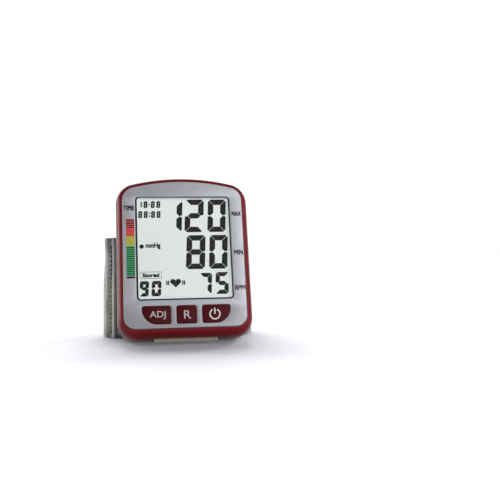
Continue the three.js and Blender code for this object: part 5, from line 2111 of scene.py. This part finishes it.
@dataclass(frozen=True)
class TableSun:
    """A sun that falls on the table alone.

    Args:
        name: The sun's name.
        energy: Its strength.
        spread_deg: Its angle, which softens its shadow.
        way: The way that it shines.
    """

    name: str
    energy: float
    spread_deg: float
    way: Place

    def hang(self) -> Piece:
        """Hangs the sun."""
        sun = bpy.data.lights.new(self.name, "SUN")
        sun.energy = self.energy
        sun.angle = math.radians(self.spread_deg)
        made = bpy.data.objects.new(self.name, sun)
        made.rotation_euler = Vector(self.way).to_track_quat("-Z", "Y").to_euler()
        bpy.context.scene.collection.objects.link(made)
        return made


SOFT_BOXES = (
    SoftBox("right_box", (0.30, -0.35, 0.23), (0.0, -0.03, 0.05), (0.45, 0.45), 1.85),
    SoftBox("left_box", (-0.6, 0.28, 0.15), (0.0, -0.02, 0.05), (0.4, 0.3), 1.1),
    SoftBox("edge_box", (-0.42, -0.08, 0.04), (-0.03, -0.03, 0.03), (0.2, 0.2), 0.22),
)
# The first lays a soft shadow forwards; the others, and a faint lamp under the housing, fill it
TABLE_LIGHTS = (
    TableSun("table_light", 5.0, 45, (0.03, -0.66, -0.74)),
    TableSun("table_fill", 0.25, 60, (-0.6, 0.6, -0.5)),
    TableSun("table_side", 2.1, 25, (-0.75, -0.5, -0.42)),
    TableSun("table_left", 1.5, 20, (0.72, -0.55, -0.42)),
    SoftBox("table_gap", (0.0005, -0.027, 0.0017), (0.0005, -0.027, 0.0), (0.062, 0.018), 0.0008),
)


@dataclass
class Studio:
    """Table, light and camera at the photograph's viewing angle.

    Args:
        camera_mm: The camera's place in millimetres; forward and up are the ways that it faces.
        lens: Its focal length, in millimetres of a 36 mm sensor.
        table_reach: Half the table's side, in metres.
        level_by_height: Heights in the sky between which it fades from its first level to its second.
        level_by_side: The same from the middle of the sky to its right.
    """

    camera_mm: Place = (-31.35, -406.64, 54.85)
    forward: Place = (0.1719, 0.9849, -0.0190)
    up: Place = (0.0135, 0.0169, 0.9998)
    lens: float = 53.28
    table_reach: float = 40.0
    level_by_height: Box = (0.265, 0.42, 1.1, 0.33)
    level_by_side: Box = (0.45, 0.9, 1.0, 0.5)

    def table(self) -> Piece:
        """Builds the pale table."""
        corners = ((-1, -1), (1, -1), (1, 1), (-1, 1))
        points = [Vector((x * self.table_reach, y * self.table_reach, 0.0)) for x, y in corners]
        made = mesh_piece("table_top", points, [(0, 1, 2, 3)], TABLE_SHEET)
        return made

    def light(self) -> None:
        """Sets the white room and the soft boxes."""
        world = bpy.data.worlds.new("white_room")
        world.use_nodes = True
        world.node_tree.nodes.clear()
        tree = world.node_tree
        way = add_node(tree, "ShaderNodeTexCoord").outputs["Generated"]
        parts = add_node(tree, "ShaderNodeSeparateXYZ", inputs={"Vector": way})
        levels = []
        for axis, limits in (("Z", self.level_by_height), ("X", self.level_by_side)):
            ramp = dict(zip(("From Min", "From Max", "To Min", "To Max"), limits))
            levels.append(add_node(tree, "ShaderNodeMapRange", {"interpolation_type": "SMOOTHSTEP"}, {
                "Value": parts.outputs[axis], **ramp}).outputs["Result"])
        level = add_node(tree, "ShaderNodeMath", {"operation": "MULTIPLY"}, {0: levels[0], 1: levels[1]})
        sky = add_node(tree, "ShaderNodeBackground", inputs={
            "Color": (1.0, 1.0, 1.0, 1.0), "Strength": level.outputs["Value"]})
        add_node(tree, "ShaderNodeOutputWorld", inputs={"Surface": sky.outputs["Background"]})
        bpy.context.scene.world = world
        for box in SOFT_BOXES:
            box.hang()

    def table_light(self, table: Piece) -> None:
        """Whitens the table with lights of its own.

        Args:
            table: The table, which is all that these lights fall on.
        """
        lit = bpy.data.collections.new("lit_by_table_lights")
        lit.objects.link(table)
        for lamp in TABLE_LIGHTS:
            lamp.hang().light_linking.receiver_collection = lit

    def camera(self) -> None:
        """Places the camera."""
        data = bpy.data.cameras.new("camera")
        data.lens = self.lens
        data.sensor_width = 36.0
        data.sensor_fit = "HORIZONTAL"
        data.clip_start = 0.01
        data.clip_end = 20.0
        ahead, up = Vector(self.forward).normalized(), Vector(self.up)
        right = ahead.cross(up).normalized()
        up = right.cross(ahead)
        turn = Matrix((right, up, -ahead)).transposed().to_4x4()
        made = bpy.data.objects.new("camera", data)
        made.matrix_world = Matrix.Translation(MM * Vector(self.camera_mm)) @ turn
        bpy.context.scene.collection.objects.link(made)
        bpy.context.scene.camera = made

    def build(self) -> None:
        """Sets up everything that isn't the object."""
        self.table_light(self.table())
        self.light()
        self.camera()
        settings = bpy.context.scene.view_settings
        settings.view_transform = "Standard"
        settings.look = "None"


def face_frame(lean_deg: float = 15.5, lens_middle: float = -1.1) -> FaceFrame:
    """Finds the face's frame from the display's window.

    Args:
        lean_deg: How far the face leans back.
        lens_middle: Height of the window's middle behind the face, in millimetres.

    Returns:
        The face's frame.
    """
    low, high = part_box("display_lens")
    lean = math.radians(lean_deg)
    outward = Vector((0.0, -math.cos(lean), math.sin(lean)))
    return FaceFrame((low + high) / 2 - outward * lens_middle * MM, lean_deg)


def cuff_ring() -> CuffRing:
    """Finds the cuff's ring from the front of its cover and the right of its lower edge."""
    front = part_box("cuff_cover")[0].y
    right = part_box("piping_bottom")[1].x
    ring = CuffRing(Vector((right - CuffRing.half_width * MM, front + CuffRing.half_depth * MM, 0.0)))
    log.info("cuff ring at %s", tuple(ring.centre))
    return ring


def main() -> None:
    """Builds and dresses the monitor, and sets the studio round it."""
    logging.basicConfig(level=logging.INFO, format="%(name)s: %(message)s")
    Studio().build()
    face, ring = face_frame(), cuff_ring()
    keys = KeyRow(face)
    made = [*Housing(face).build(keys), *keys.build(), *Display(face).build(), *Cuff(ring).build(),
            *Strap(ring).build(), *Insides().dress()]
    for piece in made:
        log.info("%s: %d vertices", piece.name, len(piece.data.vertices))
    bpy.context.view_layer.update()


if __name__ == "__main__":
    main()
